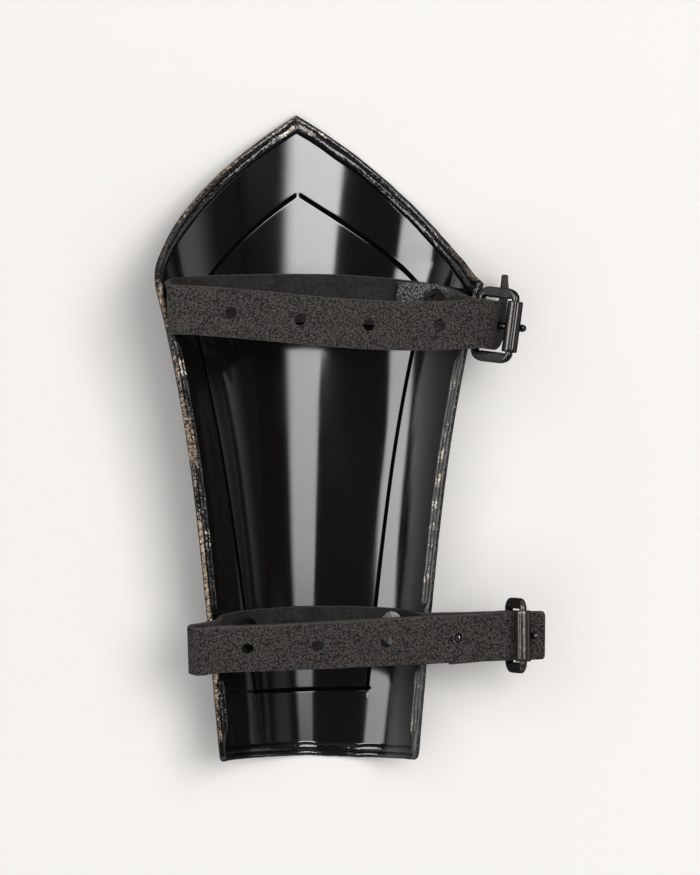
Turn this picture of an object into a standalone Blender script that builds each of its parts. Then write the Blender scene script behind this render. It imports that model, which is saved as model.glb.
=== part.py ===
"""Steel bracer: a bent sheet with a folded edge, and two leather belts with roller buckles.

Metres, +Z up. +Y runs towards the elbow, and the bracer lies on its rounded back, open side up.
Run with: blender --background --python part.py
"""

import math

import bmesh
import bpy
import numpy as np
from mathutils import Matrix, Vector

MM = 0.001

# The sheet: a half cone, open at the top, with a pointed elbow end.
SHEET = 1.2 * MM
CORNER_RUN = 184.0 * MM  # wrist end to the elbow corners
GABLE_RISE = 68.6 * MM  # elbow corners to the point
GABLE_HOLLOW_LEFT = 0.36  # how hollow the slanting edges are
GABLE_HOLLOW_RIGHT = 0.66
WRIST_Y = -(CORNER_RUN + GABLE_RISE) / 2
CORNER_Y = WRIST_Y + CORNER_RUN
WRIST_HALF_WIDTH = 37.6 * MM
ELBOW_HALF_WIDTH = 56.9 * MM
WRIST_SPREAD = 1.6 * MM  # extra half width at the wrist, which dies out by the middle
ELBOW_FLARE = 8.0 * MM  # extra half width, all of it near the corners
WRIST_DEPTH = 34.0 * MM
ELBOW_DEPTH = 46.0 * MM
WRIST_WALL_ANGLE = math.radians(78.0)
ELBOW_WALL_ANGLE = math.radians(81.0)
WRIST_FLATNESS = -0.05  # how much flatter than an ellipse the crown is
ELBOW_FLATNESS = 0.28
WRIST_ROLL = math.radians(6.4)  # the bracer leans to +X, and is twisted a little
ELBOW_ROLL = math.radians(10.9)
WORN_FLAT = 0.35 * MM  # depth worn off the underside, which leaves a flat strip
CENTRE_X = -18.48 * MM  # puts the whole object's box on the origin

# The folded edge and the creased outline of the panel.
HEM_WIDTH = 5.0 * MM
HEM_RISE = 1.4 * MM
HEM_STEP = 0.25 * MM
EDGE_ROUND = 0.9 * MM
PANEL_SIDE = 35.0 * MM
PANEL_END = 26.0 * MM
PANEL_POINT = 31.0 * MM
CREASE_HALF = 1.0 * MM
CREASE_DEPTH = 0.6 * MM
CROWN_COLUMNS = 6
WALL_COLUMNS = 4
LENGTH_ROWS = 9
END_ROWS = 3

# The belts.
BELT_WIDTH = 19.0 * MM
BELT_THICK = 2.5 * MM
BELT_CLEAR = 0.6 * MM
PUNCH_RADIUS = 2.4 * MM
RIVET_HOLE_RADIUS = 2.2 * MM

# The rivets.
RIVET_SHANK = 1.8 * MM
RIVET_GAP = 0.35 * MM
WASHER_RADIUS = 6.6 * MM
WASHER_THICK = 0.8 * MM
CAP_RADIUS = 3.8 * MM
CAP_HEIGHT = 1.0 * MM
DOME_RADIUS = 3.4 * MM
DOME_HEIGHT = 1.6 * MM

# The buckles.
HINGE_RADIUS = 1.6 * MM
FRAME_REACH = 16.0 * MM  # hinge bar to roller
FRAME_INSIDE = 20.8 * MM
ARM_WIDTH = 4.2 * MM
ARM_THICK = 2.8 * MM
ROLLER_BAR_RADIUS = 1.45 * MM
ROLLER_RADIUS = 3.0 * MM
ROLLER_BORE = 1.8 * MM
ROLLER_LENGTH = 19.8 * MM
PRONG_RADIUS = 1.45 * MM
PRONG_GAP = 0.3 * MM
PRONG_PAST_ROLLER = 3.0 * MM
PRONG_WRAP = math.radians(262.0)
FOLD_RADIUS = HINGE_RADIUS + 0.45 * MM + BELT_THICK / 2  # the belt's middle, round the hinge bar


def clear_scene():
    for thing in list(bpy.data.objects):
        bpy.data.objects.remove(thing, do_unlink=True)


def make_material(name, colour, roughness, metallic):
    material = bpy.data.materials.new(name)
    material.use_nodes = True
    shader = material.node_tree.nodes["Principled BSDF"]
    shader.inputs["Base Color"].default_value = (*colour, 1.0)
    shader.inputs["Roughness"].default_value = roughness
    shader.inputs["Metallic"].default_value = metallic
    material.diffuse_color = (*colour, 1.0)
    return material


def make_object(name, points, faces, material, smooth=True):
    mesh = bpy.data.meshes.new(name)
    mesh.from_pydata([tuple(point) for point in points], [], faces)
    shape = bmesh.new()
    shape.from_mesh(mesh)
    bmesh.ops.recalc_face_normals(shape, faces=shape.faces)
    shape.to_mesh(mesh)
    shape.free()
    if smooth:
        mesh.shade_smooth()
        mesh.set_sharp_from_angle(angle=math.radians(35))
    thing = bpy.data.objects.new(name, mesh)
    bpy.context.scene.collection.objects.link(thing)
    thing.data.materials.append(material)
    return thing


def cut(target, cutter):
    cutter.hide_render = True
    cutter.display_type = "WIRE"
    modifier = target.modifiers.new("cut_" + cutter.name, "BOOLEAN")
    modifier.operation = "DIFFERENCE"
    modifier.solver = "EXACT"
    modifier.object = cutter


def unit(vector):
    return vector / np.linalg.norm(vector)


# ---------------------------------------------------------------- the sheet's form

def outer_curve(y):
    """One section of the outer face: wall fractions -1..1, and x and z of each."""
    along = (y - WRIST_Y) / CORNER_RUN
    flare = ELBOW_FLARE * min(max(along, 0.0), 1.05) ** 4
    spread = WRIST_SPREAD * min(max(1.0 - along / 0.65, 0.0), 1.1) ** 1.3
    half_width = WRIST_HALF_WIDTH + (ELBOW_HALF_WIDTH - WRIST_HALF_WIDTH) * along + flare + spread
    depth = WRIST_DEPTH + (ELBOW_DEPTH - WRIST_DEPTH) * along
    wall = WRIST_WALL_ANGLE + (ELBOW_WALL_ANGLE - WRIST_WALL_ANGLE) * along
    flat = WRIST_FLATNESS + (ELBOW_FLATNESS - WRIST_FLATNESS) * along
    roll = WRIST_ROLL + (ELBOW_ROLL - WRIST_ROLL) * along
    fraction = np.linspace(-1.0, 1.0, 241)
    turn = np.cos(fraction * wall)
    edge = math.cos(wall)
    across = half_width * np.sin(fraction * wall) / math.sin(wall)
    up = depth * (1 - turn) * (1 - flat * turn) / ((1 - edge) * (1 - flat * edge))
    x = across * math.cos(roll) + up * math.sin(roll)
    z = up * math.cos(roll) - across * math.sin(roll)
    return fraction, x + CENTRE_X, z - z.min() - WORN_FLAT


def outer_point(fraction, y):
    """A point of the outer face, which past the side edges carries straight on."""
    steps, x, z = outer_curve(y)
    if abs(fraction) <= 1.0:
        return np.array([np.interp(fraction, steps, x), y, np.interp(fraction, steps, z)])
    near, edge = (-2, -1) if fraction > 0 else (1, 0)
    beyond = (fraction - steps[edge]) / (steps[edge] - steps[near])
    return np.array([x[edge] + (x[edge] - x[near]) * beyond, y, z[edge] + (z[edge] - z[near]) * beyond])


def inward(fraction, y):
    """Unit normal of the sheet at a wall fraction and station, pointing into the bracer."""
    step = 0.01
    across = outer_point(fraction + step, y) - outer_point(fraction - step, y)
    along = outer_point(fraction, y + MM) - outer_point(fraction, y - MM)
    return unit(np.cross(across, along))


def fraction_inside(y, inset, side):
    """The wall fraction at a distance along the section from one side edge."""
    steps, x, z = outer_curve(y)
    lengths = np.concatenate([[0.0], np.cumsum(np.hypot(np.diff(x), np.diff(z)))])
    at = lengths[-1] - inset if side > 0 else inset
    return float(np.interp(at, lengths, steps))


def gable_y(fraction):
    """Where the slanting elbow edge stands at a wall fraction."""
    share = 1.0 - abs(fraction)
    hollow = GABLE_HOLLOW_RIGHT if fraction > 0 else GABLE_HOLLOW_LEFT
    return CORNER_Y + GABLE_RISE * (share - hollow * share * (1.0 - share) ** 2)


def sheet_columns():
    """Columns across the sheet: side, distance from that side's edge, share of the crown."""
    insets = [0.0, EDGE_ROUND, HEM_WIDTH - HEM_STEP, HEM_WIDTH]
    wall = np.linspace(HEM_WIDTH, PANEL_SIDE - CREASE_HALF, WALL_COLUMNS + 1)[1:-1]
    insets += [float(value) for value in wall]
    insets += [PANEL_SIDE - CREASE_HALF, PANEL_SIDE, PANEL_SIDE + CREASE_HALF]
    left = [(-1, inset, 1.0) for inset in insets]
    right = [(1, inset, 1.0) for inset in reversed(insets)]
    shares = np.linspace(-1.0, 1.0, 2 * CROWN_COLUMNS + 1)[1:-1]
    crown = [(0, PANEL_SIDE + CREASE_HALF, float(share)) for share in shares]
    return left + crown + right


def sheet_rows():
    """Rows along the sheet: which end they follow, and the distance from it, or a share."""
    insets = [0.0, EDGE_ROUND, HEM_WIDTH - HEM_STEP, HEM_WIDTH]
    between = np.linspace(0.0, 1.0, END_ROWS + 1)[1:-1]
    wrist = [("wrist", inset) for inset in insets]
    reach = PANEL_END - CREASE_HALF - HEM_WIDTH
    wrist += [("wrist", HEM_WIDTH + float(share) * reach) for share in between]
    wrist += [("wrist", PANEL_END + shift) for shift in (-CREASE_HALF, 0.0, CREASE_HALF)]
    middle = [("middle", float(share)) for share in np.linspace(0.0, 1.0, LENGTH_ROWS + 1)[1:-1]]
    slant = math.cos(math.atan2(GABLE_RISE, 80.0 * MM))
    elbow = [("elbow", inset / slant) for inset in insets]
    reach = PANEL_POINT - CREASE_HALF - HEM_WIDTH / slant
    elbow += [("elbow", HEM_WIDTH / slant + float(share) * reach) for share in between]
    elbow += [("elbow", PANEL_POINT + shift) for shift in (-CREASE_HALF, 0.0, CREASE_HALF)]
    return wrist + middle + list(reversed(elbow))


def column_fraction(column, y):
    side, inset, share = column
    if side:
        return fraction_inside(y, inset, side)
    left = fraction_inside(y, inset, -1)
    right = fraction_inside(y, inset, 1)
    return left + (right - left) * (share + 1.0) / 2.0


def row_y(row, column):
    kind, value = row
    top = gable_y(column_fraction(column, CORNER_Y))
    if kind == "wrist":
        return WRIST_Y + value
    if kind == "elbow":
        return top - value
    low = WRIST_Y + PANEL_END + CREASE_HALF
    high = top - PANEL_POINT - CREASE_HALF
    return low + (high - low) * value


def edge_level(row, column):
    """0 on the very edge, 1 on the folded hem and 2 on the single sheet."""
    distances = [column[1] if column[0] else PANEL_SIDE]
    if row[0] != "middle":
        distances.append(row[1] * (1.0 if row[0] == "wrist" else 0.76))
    nearest = min(distances)
    if nearest < EDGE_ROUND / 2:
        return 0
    return 1 if nearest < HEM_WIDTH - HEM_STEP / 2 else 2


def is_crease(row, column):
    on_side = column[0] != 0 and abs(column[1] - PANEL_SIDE) < CREASE_HALF / 2
    inside_sides = column[0] == 0 or column[1] > PANEL_SIDE - CREASE_HALF / 2
    kind, value = row
    reach = PANEL_END if kind == "wrist" else PANEL_POINT
    on_end = kind != "middle" and abs(value - reach) < CREASE_HALF / 2
    inside_ends = kind == "middle" or value > reach - CREASE_HALF / 2
    at_point = kind == "elbow" and column[0] == 0 and abs(column[2]) < 0.5 / CROWN_COLUMNS
    return (on_side and inside_ends) or (on_end and inside_sides and not at_point)


def sheet_pair(row, column):
    """The outer and inner points of one place on the sheet."""
    y = row_y(row, column)
    fraction = column_fraction(column, y)
    base = outer_point(fraction, y)
    normal = inward(fraction, y)
    level = edge_level(row, column)
    full = SHEET + HEM_RISE
    low, high = {0: (0.28 * full, 0.72 * full), 1: (0.0, full), 2: (0.0, SHEET)}[level]
    crease = -CREASE_DEPTH if is_crease(row, column) else 0.0
    outer = base + normal * (low + crease)
    inner = base + normal * (high + crease)
    outer[2] = max(outer[2], 0.0)
    return outer, inner


def make_plate(material):
    rows = sheet_rows()
    columns = sheet_columns()
    pairs = [[sheet_pair(row, column) for column in columns] for row in rows]
    wide = len(columns)
    tall = len(rows)
    points = [pair[0] for line in pairs for pair in line]
    points += [pair[1] for line in pairs for pair in line]
    lift = wide * tall
    faces = []
    for i in range(tall - 1):
        for j in range(wide - 1):
            a = i * wide + j
            quad = (a, a + 1, a + wide + 1, a + wide)
            faces.append(quad)
            faces.append(tuple(lift + k for k in reversed(quad)))
    rim = [j for j in range(wide)]
    rim += [i * wide + wide - 1 for i in range(1, tall)]
    rim += [(tall - 1) * wide + j for j in range(wide - 2, -1, -1)]
    rim += [i * wide for i in range(tall - 2, 0, -1)]
    for a, b in zip(rim, rim[1:] + rim[:1]):
        faces.append((b, a, lift + a, lift + b))
    return make_object("plate", points, faces, material)


# ---------------------------------------------------------------- belts

def inner_stop(fraction, y, layer=0, over_hem=0.0):
    """A belt stop on the inside of the sheet: its middle and its width direction.

    layer counts belts beneath it, and over_hem is 1 where it crosses the folded edge.
    """
    lift = SHEET + BELT_CLEAR + over_hem * HEM_RISE + BELT_THICK / 2
    lift += layer * (BELT_THICK + 0.35 * MM)
    reach = BELT_WIDTH / 2
    low = outer_point(fraction, y - reach) + inward(fraction, y - reach) * lift
    high = outer_point(fraction, y + reach) + inward(fraction, y + reach) * lift
    return (low + high) / 2, unit(high - low)


def width_line(tilt, yaw):
    """A belt's width direction, from degrees out of level and degrees towards +X."""
    tilt = math.radians(tilt)
    yaw = math.radians(yaw)
    return np.array([math.sin(yaw), math.cos(yaw) * math.cos(tilt), math.cos(yaw) * math.sin(tilt)])


def free_stop(x, y, z, tilt=0.0, yaw=0.0):
    """A belt stop in the open, in millimetres from the crown line, with its width turned."""
    return np.array([x * MM + CENTRE_X, y * MM, z * MM]), width_line(tilt, yaw)


def bend_stops(x, y, z, radius, first, last, tilts, yaws):
    """Belt stops round a bend's centre, with the angle, tilt and yaw going from one to the other."""
    centre = free_stop(x, y, z)[0]
    steps = max(2, round(abs(last - first) / 28))
    stops = []
    for share in np.linspace(0.0, 1.0, steps + 1):
        width = width_line(*(pair[0] + (pair[1] - pair[0]) * share for pair in (tilts, yaws)))
        angle = math.radians(first + (last - first) * share)
        outwards = unit(np.cross(width, np.array([0.0, 0.0, 1.0])))
        up = np.cross(outwards, width)
        spoke = outwards * math.cos(angle) + up * math.sin(angle)
        stops.append((centre + spoke * radius * MM, width))
    return stops


def blend(first, second, start, end, at):
    return first + (second - first) * (at - start) / (end - start)


def smooth_run(stops, per_span=12):
    """A centripetal curve through the stops, for their middles and widths together."""
    values = np.array([np.concatenate(stop) for stop in stops])
    values = np.vstack([2 * values[0] - values[1], values, 2 * values[-1] - values[-2]])
    run = []
    for i in range(1, len(values) - 2):
        a, b, c, d = values[i - 1:i + 3]
        k = [0.0]
        for low, high in ((a, b), (b, c), (c, d)):
            k.append(k[-1] + max(np.linalg.norm((high - low)[:3]), 1e-6) ** 0.5)
        for t in np.linspace(k[1], k[2], per_span, endpoint=False):
            ab = blend(a, b, k[0], k[1], t)
            bc = blend(b, c, k[1], k[2], t)
            cd = blend(c, d, k[2], k[3], t)
            low = blend(ab, bc, k[0], k[2], t)
            high = blend(bc, cd, k[1], k[3], t)
            run.append(blend(low, high, k[1], k[2], t))
    run.append(values[-2])
    return np.array(run)


def thin_out(run, longest=5.5 * MM, sharpest=math.radians(15)):
    """Keeps the points of a dense curve that its bends and lengths need."""
    kept = [0]
    for i in range(1, len(run) - 1):
        before = unit(run[min(kept[-1] + 1, i), :3] - run[kept[-1], :3])
        here = unit(run[i + 1, :3] - run[i, :3])
        turned = math.acos(max(-1.0, min(1.0, float(before @ here))))
        if np.linalg.norm(run[i, :3] - run[kept[-1], :3]) > longest or turned > sharpest:
            kept.append(i)
    kept.append(len(run) - 1)
    return run[kept]


def belt_frames(run):
    frames = []
    for i in range(len(run)):
        before = run[max(i - 1, 0), :3]
        after = run[min(i + 1, len(run) - 1), :3]
        forward = unit(after - before)
        width = run[i, 3:]
        width = unit(width - forward * float(width @ forward))
        frames.append((run[i, :3], forward, width, np.cross(width, forward)))
    return frames


def belt_corners(frame, half=BELT_WIDTH / 2):
    """The four corners of a belt's section."""
    middle, _, width, face = frame
    sides = ((-1, -1), (1, -1), (1, 1), (-1, 1))
    return [middle + width * side * half + face * level * BELT_THICK / 2 for side, level in sides]


def untangle(run, least=0.12 * MM):
    """Leaves out the stops at which a corner of the belt's section would step backwards."""
    for _ in range(4):
        frames = belt_frames(run)
        kept = [0]
        for i in range(1, len(run)):
            forward = unit(run[i, :3] - run[kept[-1], :3])
            pairs = zip(belt_corners(frames[i]), belt_corners(frames[kept[-1]]))
            if min(float((new - old) @ forward) for new, old in pairs) > least:
                kept.append(i)
        run = run[kept]
    return run


def make_belt(name, run, material, tail_taper=3.0 * MM):
    """A flat belt along a run, with its last end's corners cut back."""
    frames = belt_frames(run)
    points = []
    for i, frame in enumerate(frames):
        left = sum(np.linalg.norm(run[k + 1, :3] - run[k, :3]) for k in range(i, len(run) - 1))
        trim = max(0.0, tail_taper - left) * 0.8
        points += belt_corners(frame, BELT_WIDTH / 2 - trim)
    faces = [(0, 1, 2, 3)]
    for i in range(len(frames) - 1):
        a = 4 * i
        faces += [(a + k, a + (k + 1) % 4, a + 4 + (k + 1) % 4, a + 4 + k) for k in range(4)]
    last = 4 * (len(frames) - 1)
    faces.append((last + 3, last + 2, last + 1, last))
    return make_object(name, points, faces, material)


def rod(name, start, end, radius, material, sides=12):
    """A plain cylinder between two points."""
    start = Vector(start)
    end = Vector(end)
    shape = bmesh.new()
    length = (end - start).length
    bmesh.ops.create_cone(shape, cap_ends=True, segments=sides, radius1=radius, radius2=radius,
                          depth=length)
    turn = (end - start).to_track_quat("Z", "Y").to_matrix().to_4x4()
    bmesh.ops.transform(shape, matrix=Matrix.Translation((start + end) / 2) @ turn,
                        verts=shape.verts)
    mesh = bpy.data.meshes.new(name)
    shape.to_mesh(mesh)
    shape.free()
    thing = bpy.data.objects.new(name, mesh)
    bpy.context.scene.collection.objects.link(thing)
    thing.data.materials.append(material)
    return thing


def turned(name, origin, axis, outline, material, sides=16):
    """A body turned round an axis from (radius, height) steps that start and end on it."""
    along = Vector(axis).normalized()
    turn = along.to_track_quat("Z", "Y").to_matrix()
    points = []
    rings = []
    for radius, height in outline:
        if radius < 1e-7:
            rings.append([len(points)])
            points.append(Vector(origin) + along * height)
            continue
        rings.append(list(range(len(points), len(points) + sides)))
        for k in range(sides):
            angle = 2 * math.pi * k / sides
            spoke = turn @ Vector((math.cos(angle), math.sin(angle), 0.0))
            points.append(Vector(origin) + along * height + spoke * radius)
    faces = []
    for low, high in zip(rings, rings[1:]):
        for k in range(sides):
            n = (k + 1) % sides
            corners = [low[k % len(low)], low[n % len(low)], high[n % len(high)], high[k % len(high)]]
            faces.append(tuple(dict.fromkeys(corners)))
    return make_object(name, points, faces, material)


def swept(name, stations, material, closed=False, sides=10):
    """A tube through stations: middle, two cross directions and two half sizes."""
    points = []
    for middle, first, second, half_first, half_second in stations:
        for k in range(sides):
            angle = 2 * math.pi * (k + 0.5) / sides
            spoke = first * math.cos(angle) * half_first + second * math.sin(angle) * half_second
            points.append(middle + spoke)
    count = len(stations)
    faces = []
    for i in range(count if closed else count - 1):
        a = i * sides
        b = ((i + 1) % count) * sides
        faces += [(a + k, a + (k + 1) % sides, b + (k + 1) % sides, b + k) for k in range(sides)]
    if not closed:
        faces.append(tuple(range(sides)))
        faces.append(tuple(reversed(range((count - 1) * sides, count * sides))))
    return make_object(name, points, faces, material)


# ---------------------------------------------------------------- rivets

def rivet_outline(reach, lift):
    """Outside dome, shank through everything, and the washer and cap inside."""
    dome = [(0.0, -RIVET_GAP - DOME_HEIGHT)]
    for step in (1, 2, 3):
        angle = math.radians(30 * step)
        dome.append((DOME_RADIUS * math.sin(angle), -RIVET_GAP - DOME_HEIGHT * math.cos(angle)))
    base = reach + RIVET_GAP + lift
    top = base + WASHER_THICK
    shank = [(RIVET_SHANK, -RIVET_GAP), (RIVET_SHANK, base)]
    washer = [(WASHER_RADIUS - 0.3 * MM, base), (WASHER_RADIUS, base + 0.3 * MM)]
    washer += [(WASHER_RADIUS - 0.3 * MM, top), (CAP_RADIUS, top)]
    cap = [(CAP_RADIUS - 0.3 * MM, top + CAP_HEIGHT * 0.6), (CAP_RADIUS / 2, top + CAP_HEIGHT * 0.95)]
    return dome + shank + washer + cap + [(0.0, top + CAP_HEIGHT)]


def make_plate_rivet(name, fraction, y, layers, lift, material):
    """A rivet through the plate and one or two layers of belt, and the axis it needs cut.

    The lift takes the washer clear of the hollow that the bent belt makes under it.
    """
    base = outer_point(fraction, y)
    axis = inward(fraction, y)
    reach = SHEET + BELT_CLEAR + layers * BELT_THICK + (layers - 1) * 0.35 * MM
    turned(name, base, axis, rivet_outline(reach, lift), material)
    return base - axis * 2 * MM, base + axis * (reach + 2 * MM)


# ---------------------------------------------------------------- buckles

class BuckleFrame:
    """Directions of one buckle: along the bars, hinge to roller, and out of its back."""

    def __init__(self, x, y, z, rise, yaw):
        self.place = (x, y, z)
        self.yaw = yaw
        rise = math.radians(rise)
        yaw = math.radians(yaw)
        self.hinge = np.array([x * MM + CENTRE_X, y * MM, z * MM])
        self.bar = np.array([math.sin(yaw), math.cos(yaw), 0.0])
        flat = np.array([math.cos(yaw), -math.sin(yaw), 0.0])
        self.reach = flat * math.cos(rise) + np.array([0.0, 0.0, math.sin(rise)])
        self.back = np.cross(self.reach, self.bar) * -1.0
        if self.back[2] < 0:
            self.back = -self.back

    def at(self, reach, back=0.0, bar=0.0):
        return self.hinge + self.reach * reach + self.back * back + self.bar * bar


def make_frame(name, buckle, material):
    """The cast loop: round bars at both ends and flat arms between them."""
    arm = (FRAME_INSIDE + ARM_WIDTH) / 2
    corner_bar = 2.2 * MM
    corner_reach = 3.6 * MM
    steps = 4
    corners = [(0, -1, -1), (0, 1, 0), (1, 1, 1), (1, -1, 2)]
    stations = []
    for end, side, _ in corners:
        middle_reach = corner_reach if end == 0 else FRAME_REACH - corner_reach
        middle_bar = side * (arm - corner_bar)
        sweep = range(steps + 1)
        start_on_bar = (end == 0) == (side > 0)
        for k in sweep:
            share = k / steps if start_on_bar else 1.0 - k / steps
            angle = share * math.pi / 2
            outwards = -1 if end == 0 else 1
            reach = middle_reach + outwards * corner_reach * math.cos(angle)
            bar = middle_bar + side * corner_bar * math.sin(angle)
            in_plane = buckle.reach * outwards * math.cos(angle) + buckle.bar * side * math.sin(angle)
            thin = HINGE_RADIUS if end == 0 else ROLLER_BAR_RADIUS
            half_plane = thin + (ARM_WIDTH / 2 - thin) * share
            half_back = thin + (ARM_THICK / 2 - thin) * share
            middle = buckle.at(reach, 0.0, bar)
            stations.append((middle, in_plane, buckle.back, half_plane, half_back))
    return swept(name, stations, material, closed=True, sides=10)


def make_roller(name, buckle, material):
    half = ROLLER_LENGTH / 2
    sides = 14
    outline = [(ROLLER_BORE, -half), (ROLLER_RADIUS, -half), (ROLLER_RADIUS, half), (ROLLER_BORE, half)]
    points = []
    for radius, shift in outline:
        for k in range(sides):
            angle = 2 * math.pi * k / sides
            spoke = buckle.reach * math.cos(angle) + buckle.back * math.sin(angle)
            points.append(buckle.at(FRAME_REACH, 0.0, shift) + spoke * radius)
    faces = []
    for ring in range(4):
        a = ring * sides
        b = ((ring + 1) % 4) * sides
        faces += [(a + k, a + (k + 1) % sides, b + (k + 1) % sides, b + k) for k in range(sides)]
    return make_object(name, points, faces, material)


def prong_line(buckle):
    """Where the prong's straight part starts and ends."""
    at_hinge = -(HINGE_RADIUS + PRONG_GAP + PRONG_RADIUS)
    at_roller = -(ROLLER_RADIUS + PRONG_GAP + PRONG_RADIUS)
    slope = (at_roller - at_hinge) / FRAME_REACH
    tip = FRAME_REACH + PRONG_PAST_ROLLER
    return buckle.at(0.0, at_hinge), buckle.at(tip, at_hinge + slope * tip)


def make_prong(name, buckle, material):
    """A wire wrapped round the hinge bar, then straight past the roller."""
    radius = HINGE_RADIUS + PRONG_GAP + PRONG_RADIUS
    stations = []
    steps = 10
    for k in range(steps, 0, -1):
        angle = -math.pi / 2 - PRONG_WRAP * k / steps
        spoke = buckle.reach * math.cos(angle) + buckle.back * math.sin(angle)
        middle = buckle.hinge + spoke * radius
        stations.append((middle, spoke, buckle.bar, PRONG_RADIUS, PRONG_RADIUS))
    start, end = prong_line(buckle)
    forward = unit(end - start)
    down = unit(np.cross(forward, buckle.bar))
    if down @ stations[-1][1] < 0:
        down = -down
    for share in (0.0, 0.5, 0.96):
        stations.append((start + (end - start) * share, down, buckle.bar, PRONG_RADIUS, PRONG_RADIUS))
    stations.append((end, down, buckle.bar, PRONG_RADIUS * 0.7, PRONG_RADIUS * 0.7))
    return swept(name, stations, material, sides=8)


def cut_for_buckle(belt, name, buckle, material):
    """Cuts the slot for the prong's loop and the way of the prong itself."""
    slot = 2 * PRONG_RADIUS + 1.2 * MM
    loop = HINGE_RADIUS + PRONG_GAP + 2 * PRONG_RADIUS + 0.5 * MM
    cut(belt, rod(name + "_slot", buckle.at(0, 0, -slot / 2), buckle.at(0, 0, slot / 2), loop, material))
    start, end = prong_line(buckle)
    cut(belt, rod(name + "_way", start, end, PRONG_RADIUS + 0.45 * MM, material))


def prong_crossing(run, buckle, reach=40.0 * MM):
    """How far back from a belt's free end its buckle's prong goes through it."""
    start, end = prong_line(buckle)
    along = unit(end - start)
    back = 0.0
    best = (math.inf, 0.0)
    for after, before in zip(run[::-1, :3], run[-2::-1, :3]):
        for share in np.linspace(0.0, 1.0, 11):
            offset = after + (before - after) * share - start
            miss = np.linalg.norm(offset - along * float(offset @ along))
            best = min(best, (miss, back + share * np.linalg.norm(before - after)))
        back += np.linalg.norm(before - after)
        if back > reach:
            break
    return float(best[1])


def punch(belt, name, run, distances, material):
    """Round holes through a belt at distances back from its free end."""
    lengths = np.concatenate([[0.0], np.cumsum(np.linalg.norm(np.diff(run[:, :3], axis=0), axis=1))])
    frames = belt_frames(run)
    for number, distance in enumerate(distances):
        at = lengths[-1] - distance
        i = int(np.searchsorted(lengths, at)) - 1
        share = (at - lengths[i]) / (lengths[i + 1] - lengths[i])
        middle = run[i, :3] + (run[i + 1, :3] - run[i, :3]) * share
        face = frames[i][3]
        ends = (middle - face * 1.8 * MM, middle + face * 1.8 * MM)
        cut(belt, rod(f"{name}_{number}", ends[0], ends[1], PUNCH_RADIUS, material))


# ---------------------------------------------------------------- the two fastenings

UPPER_BUCKLE = BuckleFrame(x=69.4, y=42.0, z=41.8, rise=36.0, yaw=8.8)
LOWER_BUCKLE = BuckleFrame(x=78.7, y=-79.6, z=32.5, rise=72.0, yaw=1.0)
PUNCH_PITCH = 27.1 * MM
UPPER_PUNCHES = 7
LOWER_PUNCHES = 6

# Inside run of each belt: wall fraction, middle in mm along Y, share of the hem's rise.
UPPER_INSIDE = [
    (0.96, 42.6, 1.2), (0.90, 43.9, 1.1), (0.82, 45.5, 0.3), (0.70, 47.8, 0.0), (0.50, 50.4, 0.0),
    (0.30, 52.6, 0.0), (0.10, 54.0, 0.0), (-0.10, 54.4, 0.0), (-0.30, 54.3, 0.0), (-0.50, 53.7, 0.0),
    (-0.66, 52.9, 0.0), (-0.75, 52.3, 0.5), (-0.83, 51.7, 1.2), (-0.90, 51.0, 1.3), (-0.965, 50.3, 1.3),
]
LOWER_INSIDE = [
    (0.95, -79.7, 1.2), (0.87, -79.3, 1.1), (0.76, -78.8, 0.2), (0.60, -78.2, 0.0), (0.40, -77.6, 0.0),
    (0.20, -77.1, 0.0), (0.0, -76.9, 0.0), (-0.20, -77.0, 0.0), (-0.40, -77.4, 0.0),
    (-0.60, -78.0, 0.0), (-0.76, -78.6, 0.2), (-0.87, -79.1, 1.0), (-0.95, -79.6, 1.1),
]
# Flap of the upper belt, lying on the run above, with the same columns.
UPPER_FLAP = [(0.47, 49.6, 0.0), (0.60, 48.6, 0.0), (0.70, 47.8, 0.0), (0.82, 45.5, 0.3),
              (0.90, 43.9, 1.1), (0.96, 42.6, 1.2)]
# Bends: centre's x, y and z, radius, first and last angle, then tilts and yaws at both ends.
UPPER_FLAP_BEND = (65.9, 42.7, 36.1, 5.8, 152, 128, (0, 0), (13, 11))
UPPER_RIM_BEND = (65.9, 42.7, 36.1, 2.8, 87, 152, (0, 0), (11, 13))
UPPER_LEFT_BENDS = [
    (-51.0, 50.1, 58.9, 2.9, 0, 48, (8, 7), (-10, -7)),
    (-47.3, 49.6, 63.7, 3.1, 218, 84, (6, 3), (-6, 3)),
]
LOWER_RIM_BEND = (44.9, -79.6, 32.7, 2.8, 82, 158, (2, 2), (5, 7))
LOWER_LEFT_BENDS = [
    (-35.5, -80.0, 42.7, 2.8, 0, 88, (5, 5), (-4, -3)),
    (-42.1, -81.9, 48.4, 2.9, 270, 92, (6, 15), (-1, 0)),
]
# Free stretches: x, y and z in mm from the crown line, and the tilt and yaw of the width.
UPPER_FRONT = [
    (-38.0, 48.8, 66.5, 3, 4), (-15.0, 46.4, 63.6, 3, 5), (10.0, 43.5, 59.4, 3, 5),
    (35.0, 41.5, 54.7, 3, 5), (55.0, 41.1, 51.1, 2, 6), (64.0, 41.4, 49.3, 0, 8),
    (69.4, 41.6, 48.5, 0, 9), (73.4, 41.2, 46.9, 0, 9), (75.9, 40.9, 42.9, 4, 9),
    (77.3, 41.5, 39.0, 12, 8), (78.4, 42.8, 34.0, 18, 8), (79.1, 44.7, 29.0, 23, 7),
    (79.5, 47.3, 23.0, 25, 7), (79.7, 50.7, 16.0, 27, 6), (79.8, 53.2, 11.2, 28, 6),
]
LOWER_FLAP_END = [(54.5, -80.9, 38.1, 2, 0), (60.0, -80.6, 37.1, 2, 0), (68.0, -80.1, 35.8, 1, 0),
                  (74.0, -79.9, 35.7, 0, 1)]
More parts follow.
